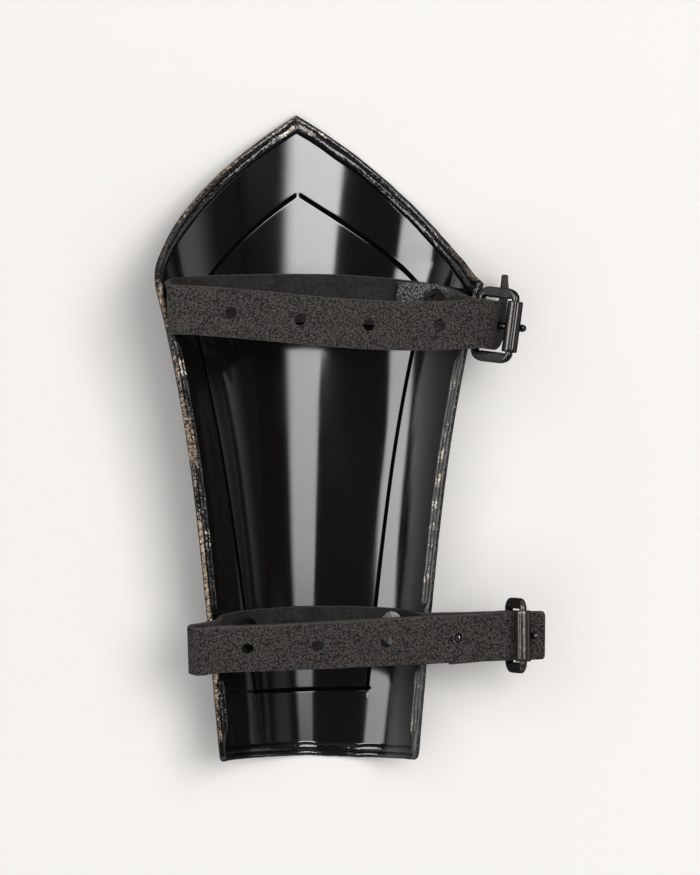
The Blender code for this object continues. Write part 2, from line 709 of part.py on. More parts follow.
LOWER_UNDER = [(74.0, -79.8, 29.9, 0, 1), (68.0, -79.8, 31.4, 0, 1), (60.0, -79.8, 33.3, 1, 2),
               (52.0, -79.7, 34.7, 2, 4)]
LOWER_FRONT = [
    (-34.0, -81.9, 51.6, 20, 0), (-18.0, -81.8, 50.8, 20, 0), (4.0, -81.4, 48.9, 18, 0),
    (28.0, -80.8, 46.4, 15, 0), (46.0, -80.4, 44.3, 13, 0), (58.7, -80.1, 43.0, 11, 0),
    (70.0, -79.9, 41.6, 8, 0), (79.0, -79.8, 40.4, 6, 1), (86.0, -79.8, 39.6, 9, 1),
    (92.3, -79.8, 39.0, 15, 1),
]


def inside_stops(rows, layer=0):
    return [inner_stop(fraction, y * MM, layer, hem) for fraction, y, hem in rows]


def free_stops(rows):
    return [free_stop(*row) for row in rows]


def hinge_bend(buckle, first, swing=0.0):
    """Belt stops round a buckle's hinge bar, from over it to under it, where it may swing in yaw."""
    yaws = (buckle.yaw, buckle.yaw + swing)
    over = bend_stops(*buckle.place, FOLD_RADIUS / MM, first, 0, (0, 0), (buckle.yaw, buckle.yaw))
    return over + bend_stops(*buckle.place, FOLD_RADIUS / MM, 0, -90, (0, 0), yaws)[1:]


def upper_run():
    stops = inside_stops(UPPER_FLAP, layer=1) + bend_stops(*UPPER_FLAP_BEND)
    stops += hinge_bend(UPPER_BUCKLE, 118, swing=2.0)
    stops += bend_stops(*UPPER_RIM_BEND) + inside_stops(UPPER_INSIDE)
    for bend in UPPER_LEFT_BENDS:
        stops += bend_stops(*bend)
    return untangle(thin_out(smooth_run(stops + free_stops(UPPER_FRONT))))


def lower_run():
    stops = free_stops(LOWER_FLAP_END) + hinge_bend(LOWER_BUCKLE, 90) + free_stops(LOWER_UNDER)
    stops += bend_stops(*LOWER_RIM_BEND) + inside_stops(LOWER_INSIDE)
    for bend in LOWER_LEFT_BENDS:
        stops += bend_stops(*bend)
    return untangle(thin_out(smooth_run(stops + free_stops(LOWER_FRONT))))


def make_buckle(prefix, buckle, material):
    make_frame(prefix + "_frame", buckle, material)
    make_roller(prefix + "_roller", buckle, material)
    make_prong(prefix + "_prong", buckle, material)


def make_fold_rivet(name, material):
    """Closes the lower belt's fold, with a dome on the open side."""
    base = free_stop(58.7, -79.9, 33.6)[0]
    axis = np.array([0.18, 0.0, 0.984])
    under = -BELT_THICK / 2 - 0.55 * MM
    over = 3.85 * MM + BELT_THICK / 2 + RIVET_GAP
    outline = [(0.0, under - 1.2 * MM), (3.4 * MM, under - 1.2 * MM), (4.0 * MM, under)]
    outline += [(RIVET_SHANK, under), (RIVET_SHANK, over), (3.2 * MM, over)]
    outline += [(2.6 * MM, over + 0.9 * MM), (1.4 * MM, over + 1.4 * MM), (0.0, over + 1.5 * MM)]
    turned(name, base, axis, outline, material)
    return base + axis * (under - MM), base + axis * (over + MM)


def main():
    clear_scene()
    lacquer = make_material("black_lacquered_steel", (0.012, 0.011, 0.010), 0.16, 0.0)
    leather = make_material("black_leather", (0.045, 0.042, 0.040), 0.62, 0.0)
    gunmetal = make_material("dark_steel", (0.06, 0.052, 0.045), 0.32, 1.0)
    plate = make_plate(lacquer)
    upper_line = upper_run()
    lower_line = lower_run()
    upper = make_belt("upper_strap", upper_line, leather)
    lower = make_belt("lower_strap", lower_line, leather)
    # Name, wall fraction, middle and lift in mm, belt layers, belt.
    rivets = (
        ("rivet_upper_left", -0.67, 52.9, 1.55, 1, upper),
        ("rivet_upper_right", 0.77, 47.9, 2.1, 2, upper),
        ("rivet_lower_left", -0.53, -77.8, 1.1, 1, lower),
        ("rivet_lower_right", 0.67, -77.8, 1.35, 1, lower),
    )
    for name, fraction, y, lift, layers, belt in rivets:
        start, end = make_plate_rivet(name, fraction, y * MM, layers, lift * MM, gunmetal)
        hole = rod(name + "_hole", start, end, RIVET_HOLE_RADIUS, gunmetal)
        cut(plate, hole)
        cut(belt, hole)
    start, end = make_fold_rivet("rivet_lower_fold", gunmetal)
    cut(lower, rod("fold_rivet_hole", start, end, RIVET_HOLE_RADIUS, gunmetal))
    make_buckle("buckle_upper", UPPER_BUCKLE, gunmetal)
    make_buckle("buckle_lower", LOWER_BUCKLE, gunmetal)
    cut_for_buckle(upper, "upper", UPPER_BUCKLE, gunmetal)
    cut_for_buckle(lower, "lower", LOWER_BUCKLE, gunmetal)
    for belt, name, line, buckle, count in (
        (upper, "upper_punch", upper_line, UPPER_BUCKLE, UPPER_PUNCHES),
        (lower, "lower_punch", lower_line, LOWER_BUCKLE, LOWER_PUNCHES),
    ):
        first = prong_crossing(line, buckle) % PUNCH_PITCH
        places = [first + k * PUNCH_PITCH for k in range(count)]
        punch(belt, name, line, places, gunmetal)


main()
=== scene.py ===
"""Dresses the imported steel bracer: black lacquered sheet, leather belts and dark steel fittings."""

import logging
import math
from collections.abc import Iterable, Sequence
from dataclasses import dataclass, field
from enum import Enum

import bmesh
import bpy
import numpy as np
from mathutils import Matrix, Vector, noise


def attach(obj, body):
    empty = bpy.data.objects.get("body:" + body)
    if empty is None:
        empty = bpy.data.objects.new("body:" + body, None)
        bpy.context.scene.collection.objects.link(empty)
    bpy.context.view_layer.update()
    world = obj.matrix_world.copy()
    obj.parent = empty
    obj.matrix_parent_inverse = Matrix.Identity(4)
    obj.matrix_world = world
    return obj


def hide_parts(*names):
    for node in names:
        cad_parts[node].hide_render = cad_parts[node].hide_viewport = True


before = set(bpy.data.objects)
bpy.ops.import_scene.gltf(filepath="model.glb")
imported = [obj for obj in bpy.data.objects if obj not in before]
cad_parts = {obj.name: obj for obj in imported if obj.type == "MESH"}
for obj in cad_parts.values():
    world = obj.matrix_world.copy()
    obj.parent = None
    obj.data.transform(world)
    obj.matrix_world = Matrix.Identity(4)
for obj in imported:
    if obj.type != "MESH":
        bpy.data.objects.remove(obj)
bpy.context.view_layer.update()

LOG = logging.getLogger("bracer")
MM = 0.001
CENTRE_X = -18.48 * MM  # the crown line of the sheet, in the shared frame
ROD_SIDES = 32
Point = np.ndarray
Stop = tuple[np.ndarray, np.ndarray]
Triple = tuple[float, float, float]
Face = tuple[int, ...]
Thing = bpy.types.Object
Material = bpy.types.Material
Socket = bpy.types.NodeSocket


class Slot(Enum):
    """The record's material slots."""

    LACQUER = "black_lacquered_steel"
    LEATHER = "black_leather"
    STEEL = "dark_steel"


class BeltFace(Enum):
    """The three kinds of surface on a belt, by material index."""

    GRAIN = 0
    FLESH = 1
    CUT = 2


# ---------------------------------------------------------------- shared helpers


def unit(vector: Point) -> Point:
    """The vector at length one."""
    return vector / np.linalg.norm(vector)


def clamp(value: float) -> float:
    """The value, kept between 0 and 1."""
    return min(1.0, max(0.0, value))


def bell(miss: float, half: float, power: int = 2) -> float:
    """A hump that is 1 where nothing is missed and dies out past a half width."""
    return math.exp(-((miss / half) ** power))


def ripple(*place: float) -> float:
    """Smooth repeatable noise between about -1 and 1 at a place given in its own units."""
    padded = (tuple(place) + (0.0, 0.0))[:3]
    return noise.noise(Vector(padded))


def link_object(name: str, mesh: bpy.types.Mesh) -> Thing:
    """Puts a mesh into the scene under a name."""
    thing = bpy.data.objects.new(name, mesh)
    bpy.context.scene.collection.objects.link(thing)
    return thing


def add_materials(mesh: bpy.types.Mesh, materials: Iterable[Material]) -> None:
    """Gives a mesh its materials in order."""
    for material in materials:
        mesh.materials.append(material)


def build_mesh(name: str, points: Sequence, faces: Sequence, sharp: float = 40.0) -> Thing:
    """Makes a smooth shaded object with outward faces.

    Args:
        name: the piece's name.
        points: its corners, in metres.
        faces: tuples of corner numbers.
        sharp: the angle in degrees above which an edge stays sharp.

    Returns:
        The new object.
    """
    mesh = bpy.data.meshes.new(name)
    mesh.from_pydata([tuple(point) for point in points], [], faces)
    shape = bmesh.new()
    shape.from_mesh(mesh)
    bmesh.ops.recalc_face_normals(shape, faces=shape.faces)
    shape.to_mesh(mesh)
    shape.free()
    mesh.shade_smooth()
    mesh.set_sharp_from_angle(angle=math.radians(sharp))
    return link_object(name, mesh)


def ring_faces(rings: int, sides: int, closed: bool) -> list[Face]:
    """Four-sided faces between rings of corners, and the caps of an open run."""
    faces = []
    for ring in range(rings if closed else rings - 1):
        a, b = ring * sides, ((ring + 1) % rings) * sides
        faces += [(a + k, a + (k + 1) % sides, b + (k + 1) % sides, b + k) for k in range(sides)]
    if not closed:
        faces.append(tuple(range(sides)))
        faces.append(tuple(reversed(range((rings - 1) * sides, rings * sides))))
    return faces


def apply_cuts(thing: Thing, cutters: Iterable[Thing]) -> None:
    """Cuts shapes out of a piece for good and deletes them."""
    cutters = list(cutters)
    for cutter in cutters:
        modifier = thing.modifiers.new("cut", "BOOLEAN")
        modifier.operation = "DIFFERENCE"
        modifier.solver = "EXACT"
        modifier.object = cutter
    bpy.context.view_layer.update()
    shape = thing.evaluated_get(bpy.context.evaluated_depsgraph_get())
    mesh = bpy.data.meshes.new_from_object(shape)
    thing.modifiers.clear()
    thing.data = mesh
    for cutter in cutters:
        bpy.data.objects.remove(cutter, do_unlink=True)


def rod(name: str, start: Point, end: Point, radius: float, like: Thing | None = None) -> Thing:
    """A cutter between two points, whose cut faces take the belt's cut finish.

    Args:
        name: its name.
        start: the middle of one end.
        end: the middle of the other end.
        radius: its radius in metres.
        like: the belt whose material slots it shares, if any.

    Returns:
        The cutter.
    """
    first, last = Vector(start), Vector(end)
    shape = bmesh.new()
    bmesh.ops.create_cone(shape, cap_ends=True, segments=ROD_SIDES, radius1=radius, radius2=radius,
                          depth=(last - first).length)
    turn = (last - first).to_track_quat("Z", "Y").to_matrix().to_4x4()
    bmesh.ops.transform(shape, matrix=Matrix.Translation((first + last) / 2) @ turn, verts=shape.verts)
    mesh = bpy.data.meshes.new(name)
    shape.to_mesh(mesh)
    shape.free()
    if like is not None:
        add_materials(mesh, like.data.materials)
        for face in mesh.polygons:
            face.material_index = BeltFace.CUT.value
    mesh.shade_smooth()
    return link_object(name, mesh)


def dress(thing: Thing, materials: Sequence[Material],
          nodes: Sequence[str]) -> None:
    """Finishes a piece and says which CAD nodes it stands for.

    Args:
        thing: the piece.
        materials: its materials, which it already has if it is a belt.
        nodes: the CAD nodes that it replaces.
    """
    if not thing.data.materials:
        add_materials(thing.data, materials)
    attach(thing, "root")
    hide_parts(*nodes)
    LOG.info("%s: %d faces, in place of %s", thing.name, len(thing.data.polygons), ", ".join(nodes))


# ---------------------------------------------------------------- finishes


def opaque(value: object) -> object:
    """A colour with its alpha, or any other value as it is."""
    return (*value, 1.0) if isinstance(value, tuple) else value


def feed(tree: bpy.types.NodeTree, socket: Socket, value: object) -> None:
    """Links an output to a socket, or sets a plain value on it."""
    if isinstance(value, Socket):
        tree.links.new(value, socket)
    else:
        socket.default_value = value


def add_node(tree: bpy.types.NodeTree, kind: str, inputs: dict | None = None,
             **settings: object) -> bpy.types.Node:
    """A new node in a tree.

    Args:
        tree: the node tree.
        kind: the node's type.
        inputs: what goes into its sockets, by name or number.
        settings: its own settings.

    Returns:
        The node.
    """
    node = tree.nodes.new(kind)
    for name, value in settings.items():
        setattr(node, name, value)
    for name, value in (inputs or {}).items():
        feed(tree, node.inputs[name], value)
    return node


def smooth_step(tree: bpy.types.NodeTree, value: Socket, low: float, high: float, to_low: float = 0.0,
                to_high: float = 1.0) -> Socket:
    """A smooth step from one value to another."""
    inputs = {"Value": value, "From Min": low, "From Max": high, "To Min": to_low, "To Max": to_high}
    return add_node(tree, "ShaderNodeMapRange", inputs, interpolation_type="SMOOTHSTEP").outputs["Result"]


class Bench:
    """Adds and links the shader nodes of one material."""

    def __init__(self, name: str) -> None:
        """Starts a material with one Principled shader."""
        self.material = bpy.data.materials.new(name)
        self.material.use_nodes = True
        self.tree = self.material.node_tree
        self.shader = self.tree.nodes["Principled BSDF"]
        self.place = self.add("ShaderNodeTexCoord").outputs["Object"]

    def add(self, kind: str, inputs: dict | None = None, **settings: object) -> bpy.types.Node:
        """A new node in the material's own tree."""
        return add_node(self.tree, kind, inputs, **settings)

    def axis(self, letter: str) -> Socket:
        """The place along one axis, in metres."""
        return self.add("ShaderNodeSeparateXYZ", {0: self.place}).outputs[letter]

    def attribute(self, name: str) -> Socket:
        """The value that each corner of the mesh carries under a name."""
        return self.add("ShaderNodeAttribute", attribute_name=name).outputs["Fac"]

    def noise(self, scale: float, detail: float = 3.0, rough: float = 0.55, twist: float = 0.0,
              place: Socket | None = None) -> Socket:
        """Cloudy noise with a scale in cells per metre."""
        inputs = {"Vector": place or self.place, "Scale": scale, "Detail": detail, "Roughness": rough,
                  "Distortion": twist}
        return self.add("ShaderNodeTexNoise", inputs).outputs["Fac"]

    def cells(self, scale: float) -> Socket:
        """Distance within small cells, with a scale in cells per metre."""
        return self.add("ShaderNodeTexVoronoi", {"Vector": self.place, "Scale": scale}).outputs["Distance"]

    def stretch(self, scale: Triple) -> Socket:
        """The place scaled differently along each axis."""
        return self.add("ShaderNodeMapping", {"Vector": self.place, "Scale": scale}).outputs["Vector"]

    def ramp(self, value: Socket, *limits: float) -> Socket:
        """A smooth step between two values, from 0 to 1 or as given."""
        return smooth_step(self.tree, value, *limits)

    def math(self, what: str, first: object, second: object) -> Socket:
        """One sum on two values."""
        node = self.add("ShaderNodeMath", {0: first, 1: second}, operation=what, use_clamp=what == "ADD")
        return node.outputs[0]

    def times(self, first: object, second: object) -> Socket:
        """The product of two values."""
        return self.math("MULTIPLY", first, second)

    def plus(self, first: object, second: object) -> Socket:
        """The sum of two values, kept between 0 and 1."""
        return self.math("ADD", first, second)

    def most(self, first: object, second: object) -> Socket:
        """The larger of two values."""
        return self.math("MAXIMUM", first, second)

    def mix(self, share: Socket, first: object, second: object) -> Socket:
        """One colour going over into another."""
        node = self.add("ShaderNodeMix", {"Factor": share}, data_type="RGBA")
        for name, value in (("A", first), ("B", second)):
            socket = next(s for s in node.inputs if s.name == name and s.type == "RGBA")
            feed(self.tree, socket, opaque(value))
        return next(s for s in node.outputs if s.type == "RGBA")

    def bump(self, height: Socket, strength: float, depth: float, over: Socket | None = None) -> Socket:
        """Fine relief of a depth in metres, over any coarser relief."""
        inputs = {"Strength": strength, "Distance": depth, "Height": height}
        if over is not None:
            inputs["Normal"] = over
        return self.add("ShaderNodeBump", inputs).outputs["Normal"]

    def finish(self, inputs: dict[str, object]) -> Material:
        """Gives the shader's inputs values or links, and hands the material over."""
        for name, value in inputs.items():
            feed(self.tree, self.shader.inputs[name], opaque(value))
        return self.material


@dataclass(frozen=True)
class Lacquer:
    """Gloss black over steel, worn to brown and bright metal on the hammered hem, with painted glints on the
    hem and a painted grey sheen on the right wall.
    """

    black: Triple = (0.0052, 0.0047, 0.0043)
    # painted sheen: the lighter grey of a band on the right wall
    sheen_grey: Triple = (0.040, 0.039, 0.038)
    umber: Triple = (0.075, 0.050, 0.034)
    brown: Triple = (0.40, 0.29, 0.20)
    bright: Triple = (0.92, 0.86, 0.77)
    gloss: float = 0.07
    wall_easing: float = 7.5 * MM

    def make(self) -> Material:
        """Builds the material."""
        bench = Bench("black_lacquer")
        tan, bare_and_glint, hem, wall_sheen = (bench.attribute(name) for name in ("tan", "bare_and_glint", "hem", "wall_sheen"))
        fine = bench.noise(1700.0, detail=4.0, rough=0.75)
        patches = bench.noise(620.0, detail=4.0, rough=0.65, twist=1.0)
        chips = bench.plus(bench.times(fine, 0.6), bench.times(patches, 0.4))
        worn = bench.ramp(bench.plus(bench.times(tan, 0.20), chips), 0.60, 0.70)
        worn = bench.times(worn, bench.ramp(tan, 0.05, 0.4))
        # Bright specks: bare metal on the hem's ridges, and painted glints at the left elbow corner, beside
        # the open joint and in two bands along the left rolled hem.
        specks = bench.ramp(bench.plus(bench.times(bare_and_glint, 0.24), chips), 0.66, 0.73)
        specks = bench.times(specks, bench.ramp(bare_and_glint, 0.05, 0.35))
        browns = bench.mix(bench.ramp(patches, 0.4, 0.6), self.umber, self.brown)
        # Painted sheen: a lighter grey band on the right wall beside its bright reflection strip, which is
        # also hazier.
        colour = bench.mix(worn, bench.mix(wall_sheen, self.black, self.sheen_grey), browns)
        colour = bench.mix(specks, colour, bench.mix(bench.ramp(fine, 0.48, 0.60), self.brown, self.bright))
        either = bench.most(worn, specks)
        haze = bench.ramp(bench.noise(38.0, detail=2.0), 0.3, 0.7, self.gloss, self.gloss + 0.03)
        hazy = bench.most(haze, bench.times(hem, 0.10))
        hazy = bench.most(hazy, bench.times(wall_sheen, 0.42))
        # The right wall stands a little less steep towards the wrist than the plain section.
        across = bench.ramp(bench.axis("X"), CENTRE_X + 8 * MM, CENTRE_X + 56 * MM, 0.0, -1.0)
        easing = bench.times(across, bench.ramp(bench.axis("Y"), -20 * MM, 75 * MM, 1.0, 0.0))
        wall = bench.bump(easing, 1.0, self.wall_easing)
        dents = bench.times(bench.noise(480.0, detail=3.0, rough=0.55, twist=0.6), hem)
        return bench.finish({
            "Base Color": colour,
            "Metallic": bench.times(either, 0.25),
            "Roughness": bench.most(hazy, bench.times(either, 0.34)),
            "Normal": bench.bump(dents, 0.8, 0.0005, over=wall),
            "IOR": 1.62,
        })


@dataclass(frozen=True)
class CreaseShadow:
    """Painted shade: the dull black bottom of the panel's creases, without gloss."""

    black: Triple = (0.0015, 0.0014, 0.0013)

    def make(self) -> Material:
        """Builds the material."""
        bench = Bench("crease_shadow")
        # The painted shade is mottled a little darker and lighter.
        shade_mottle = bench.ramp(bench.noise(900.0), 0.4, 0.6)
        colour = bench.mix(shade_mottle, self.black, tuple(2 * value for value in self.black))
        return bench.finish({"Base Color": colour, "Roughness": 1.0, "Specular IOR Level": 0.0})


@dataclass(frozen=True)
class Grain:
    """The pebbled outer side of the belts, with painted highlights on its crinkles."""

    dark: Triple = (0.0030, 0.0028, 0.0026)
    light: Triple = (0.092, 0.082, 0.072)
    # painted highlight: the pale colour put on the ridges of the crinkles
    worn: Triple = (0.48, 0.465, 0.44)

    def make(self) -> Material:
        """Builds the material."""
        bench = Bench("leather_grain")
        pebbles = bench.cells(1350.0)
        fine = bench.noise(4800.0, detail=1.0, rough=0.5)
        domes = bench.ramp(pebbles, 0.80, 0.20)
        tone = bench.plus(bench.times(domes, 0.2), bench.times(fine, 0.8))
        speck = bench.ramp(tone, 0.43, 0.66)
        creased = bench.attribute("crinkle")
        wrinkle = bench.noise(750.0, detail=4.0, rough=0.7, twist=2.2)
        # Painted highlights: pale colour on the ridges of the crinkled stretch, which is itself made darker
        # beneath them.
        crinkle_glint = bench.times(bench.ramp(wrinkle, 0.49, 0.58), creased)
        plain_colour = bench.mix(speck, self.dark, self.light)
        dull = bench.mix(bench.times(creased, 0.6), plain_colour, self.dark)
        plain = bench.ramp(fine, 0.35, 0.65, 0.62, 0.40)
        shine = bench.math("SUBTRACT", 1.0, bench.times(creased, 0.42))
        crumple = bench.noise(600.0, detail=4.0, rough=0.6, twist=1.6)
        first = bench.bump(bench.times(crumple, creased), 1.0, 0.0016)
        second = bench.bump(pebbles, 0.9, 0.00042, over=first)
        return bench.finish({
            "Base Color": bench.mix(crinkle_glint, dull, self.worn),
            "Roughness": bench.times(plain, shine),
            "Normal": bench.bump(tone, 0.9, 0.00042, over=second),
            "Specular IOR Level": 0.18,
        })


@dataclass(frozen=True)
class Flesh:
    """The dull fibrous inner side of the belts."""

    dark: Triple = (0.008, 0.0074, 0.007)
    light: Triple = (0.030, 0.028, 0.026)

    def make(self) -> Material:
        """Builds the material."""
        bench = Bench("leather_flesh")
        fibres = bench.noise(900.0, detail=5.0, rough=0.75, twist=0.8)
        clouds = bench.noise(130.0, detail=2.0)
        tone = bench.plus(bench.times(fibres, 0.65), bench.times(clouds, 0.35))
        return bench.finish({
            "Base Color": bench.mix(bench.ramp(tone, 0.35, 0.65), self.dark, self.light),
            "Roughness": 0.92,
            "Specular IOR Level": 0.2,
            "Normal": bench.bump(fibres, 0.8, 0.0004),
        })


@dataclass(frozen=True)
class CutLeather:
    """The sawn edges of the belts and the walls of their holes."""

    dark: Triple = (0.012, 0.010, 0.009)
    light: Triple = (0.055, 0.046, 0.039)

    def make(self) -> Material:
        """Builds the material."""
        bench = Bench("leather_cut_edge")
        layers = bench.noise(1000.0, detail=4.0, rough=0.7)
        return bench.finish({
            "Base Color": bench.mix(bench.ramp(layers, 0.35, 0.68), self.dark, self.light),
            "Roughness": 0.78,
            "Normal": bench.bump(layers, 0.6, 0.0003),
        })


@dataclass(frozen=True)
class Gunmetal:
    """Dark plated steel, rubbed brighter where it is worn."""

    name: str = "gunmetal"
    dark: Triple = (0.052, 0.049, 0.046)
    rubbed: Triple = (0.155, 0.145, 0.132)
    rough: float = 0.22
    wear: float = 0.4

    def make(self) -> Material:
        """Builds the material."""
        bench = Bench(self.name)
        clouds = bench.noise(420.0, detail=4.0, rough=0.6)
        grit = bench.noise(2400.0, detail=3.0)
        rubbed = bench.ramp(clouds, 0.78 - 0.35 * self.wear, 0.94 - 0.30 * self.wear)
        first = bench.bump(clouds, 0.15, 0.0002)
        return bench.finish({
            "Base Color": bench.mix(rubbed, self.dark, self.rubbed),
            "Metallic": 0.95,
            "Roughness": bench.ramp(grit, 0.3, 0.7, self.rough - 0.04, self.rough + 0.08),
            "Normal": bench.bump(grit, 0.15, 0.00005, over=first),
        })


@dataclass(frozen=True)
class PaintedLitWasher:
    """Painted light: the rivet steel made pale and brushed on one washer, standing in for the light that it
    catches.
    """

    grey: Triple = (0.55, 0.535, 0.51)
    pale: Triple = (0.86, 0.84, 0.81)

    def make(self) -> Material:
        """Builds the material."""
        bench = Bench("painted_lit_washer")
        strokes = bench.noise(1.0, detail=3.0, place=bench.stretch((2400.0, 260.0, 260.0)))
        return bench.finish({
            "Base Color": bench.mix(bench.ramp(strokes, 0.35, 0.7), self.grey, self.pale),
            "Metallic": 1.0,
            "Roughness": bench.ramp(strokes, 0.3, 0.7, 0.26, 0.44),
            "Normal": bench.bump(strokes, 0.35, 0.00006),
        })


@dataclass(frozen=True)
class Floor:
    """The plain pale floor."""

    colour: Triple = (0.80, 0.780, 0.757)

    def make(self) -> Material:
        """Builds the material."""
        return Bench("pale_floor").finish({"Base Color": self.colour, "Roughness": 0.95,
                                           "Specular IOR Level": 0.1})


# ---------------------------------------------------------------- the sheet


@dataclass(frozen=True)
class Spot:
    """One corner of the sheet: its column and its distances, in metres, from what shapes it."""

    side: int  # -1 and 1 in the side columns, 0 in the crown
    inset: float  # from the edge of that side
    share: float  # across the crown, -1..1
    wrist: float
    elbow: float
    point: float  # from the elbow edge, less the crease's own shift
    rim: float  # from the nearest edge


@dataclass
class Sheet:
    """The bent steel plate with its folded, hammered edge and creased panel."""

    thick: float = 1.2 * MM
    corner_run: float = 184.0 * MM
    gable_rise: float = 68.6 * MM
    hollow_left: float = 0.36
    hollow_right: float = 0.66
    half_widths: tuple[float, float] = (37.6 * MM, 56.9 * MM)
    spread: float = 1.6 * MM
    flare: float = 8.0 * MM
    depths: tuple[float, float] = (34.0 * MM, 46.0 * MM)
    walls: tuple[float, float] = (math.radians(78.0), math.radians(81.0))
    flatness: tuple[float, float] = (-0.05, 0.28)
    rolls: tuple[float, float] = (math.radians(6.4), math.radians(10.9))
    worn_flat: float = 0.35 * MM
    panel_side: float = 35.0 * MM
    panel_end: float = 26.0 * MM
    panel_point: float = 31.0 * MM
    crease_depth: float = 0.6 * MM
    crease_half: float = 0.42 * MM
    corner_round: float = 3.4 * MM
    slant: float = 0.76
    wrist_dip: float = 1.6 * MM
    wrist_y: float = field(init=False)
    corner_y: float = field(init=False)

    # Inset from the edge, height of the inner face and of the outer face, in mm.
    HEM_PROFILE = (
        (0.00, 1.30, 1.30), (0.10, 1.85, 0.75), (0.28, 2.22, 0.38), (0.55, 2.50, 0.12), (0.90, 2.62, 0.0),
        (1.30, 2.60, 0.0), (1.70, 2.48, 0.0), (1.92, 2.30, 0.0), (2.06, 1.95, 0.0), (2.20, 1.85, 0.0),
        (2.36, 2.12, 0.0), (2.60, 2.36, 0.0), (3.00, 2.48, 0.0), (3.60, 2.46, 0.0), (4.10, 2.36, 0.0),
        (4.45, 2.20, 0.0), (4.68, 1.95, 0.0), (4.84, 1.62, 0.0), (4.96, 1.34, 0.0), (5.12, 1.2, 0.0),
        (5.60, 1.2, 0.0), (6.80, 1.2, 0.0),
    )
    # The same columns where a side hem is rolled thick: distance from the edge and inner height, in mm.
    ROLLED_PROFILE = (
        (0.00, 1.30), (0.02, 1.55), (0.10, 1.80), (0.45, 1.98), (0.62, 2.12), (0.40, 2.28), (0.12, 2.46),
        (0.02, 2.75), (0.03, 3.00), (0.16, 3.22), (0.55, 3.36), (0.72, 3.48), (0.50, 3.62), (0.28, 3.80),
        (0.30, 4.05), (0.52, 4.32), (0.95, 4.48), (1.60, 4.50), (2.60, 4.30), (3.70, 3.60), (4.90, 2.20),
        (6.80, 1.20),
    )
    # Where the belts cross the side edges, in mm along Y, and the half width kept plain there.
    CROSSINGS = {-1: ((50.4, 11.2), (-80.8, 12.2)), 1: ((42.6, 11.6), (-79.8, 11.2))}
    CREASE_STEPS = (-1.8, -1.2, -0.95, -0.8, -0.5, -0.25, 0.0, 0.25, 0.5, 0.8, 0.95, 1.2, 1.8)
    EDGE_STEPS = 120.0  # past its edge the section runs straight on, at its slope over this share of it
    SECTION_STEPS = 241
    MITRE_REACH = 5.4 * MM
    MITRE_HALF = 0.42
    TIP_GAP = 0.012  # the share of the crown left plain where the two slanting creases would meet
    FADE_PAST_CREASE = 1.6 * MM
    # Heights of the hammering over its spacing in mm: along the edges, and on the folded hem.
    WAVES = ((0.42, 9.0, 0.0), (0.22, 3.6, 7.0))
    LUMPS = ((0.34, 4.0), (0.22, 1.6))
    WALL_COLUMNS = 9
    CROWN_COLUMNS = 26
    END_ROWS = 8
    LENGTH_ROWS = 176

    def __post_init__(self) -> None:
        """Works out where the ends stand and tabulates the crown's depth."""
        self.wrist_y = -(self.corner_run + self.gable_rise) / 2
        self.corner_y = self.wrist_y + self.corner_run
        past = 20 * MM
        self._ys = np.linspace(self.wrist_y - past, -self.wrist_y + past, 900)
        fraction = np.linspace(-1.0, 1.0, 1201)[None, :]
        self._lows = self._raw(fraction, self._ys[:, None])[1].min(axis=1)

    def _raw(self, fraction: Point, y: Point) -> tuple[Point, Point]:
        """Section x and z before the section is set down on the ground."""
        along = (y - self.wrist_y) / self.corner_run
        flare = self.flare * np.clip(along, 0.0, 1.05) ** 4
        flare = flare + self.spread * np.clip(1.0 - along / 0.65, 0.0, 1.1) ** 1.3

        def between(pair: tuple[float, float]) -> Point:
            """The value at this station between the wrist's and the elbow's."""
            return pair[0] + (pair[1] - pair[0]) * along

        half = between(self.half_widths) + flare
        depth = between(self.depths)
        wall = between(self.walls)
        flat = between(self.flatness)
        roll = between(self.rolls)
        turn = np.cos(fraction * wall)
        edge = np.cos(wall)
        across = half * np.sin(fraction * wall) / np.sin(wall)
        up = depth * (1 - turn) * (1 - flat * turn) / ((1 - edge) * (1 - flat * edge))
        return across * np.cos(roll) + up * np.sin(roll), up * np.cos(roll) - across * np.sin(roll)

    def outer(self, fraction: Point, y: Point) -> Point:
        """Points of the outer face at wall fractions -1..1 and stations along Y."""
        fraction = np.asarray(fraction, dtype=float)
        y = np.asarray(y, dtype=float)
        inside = np.clip(fraction, -1.0, 1.0)
        x, z = self._raw(inside, y)
        near_x, near_z = self._raw(inside * (1.0 - 1.0 / self.EDGE_STEPS), y)
        past = (fraction - inside) * self.EDGE_STEPS * np.sign(fraction)
        x = x + (x - near_x) * past
        z = z + (z - near_z) * past
        low = np.interp(y, self._ys, self._lows)
        return np.stack([x + CENTRE_X, y + 0.0 * x, z - low - self.worn_flat], axis=-1)

    def inward(self, fraction: Point, y: Point) -> Point:
        """Unit normals of the sheet pointing into the bracer."""
        step = 0.01
        across = self.outer(fraction + step, y) - self.outer(fraction - step, y)
        along = self.outer(fraction, y + MM) - self.outer(fraction, y - MM)
        normal = np.cross(across, along)
        return normal / np.linalg.norm(normal, axis=-1, keepdims=True)

    def gable(self, fraction: float) -> float:
        """Where the slanting elbow edge stands at a wall fraction."""
        share = 1.0 - abs(fraction)
        hollow = self.hollow_right if fraction > 0 else self.hollow_left
        return self.corner_y + self.gable_rise * (share - hollow * share * (1.0 - share) ** 2)

    def crease_shift(self, fraction: float) -> float:
        """How much further from the slanting edge than its plain distance the panel's crease stands."""
        share = 1.0 - abs(fraction)
        wanted, hollow = (0.0, self.hollow_right) if fraction > 0 else (0.5, self.hollow_left)
        return self.gable_rise * share * fraction * fraction * (wanted - hollow)

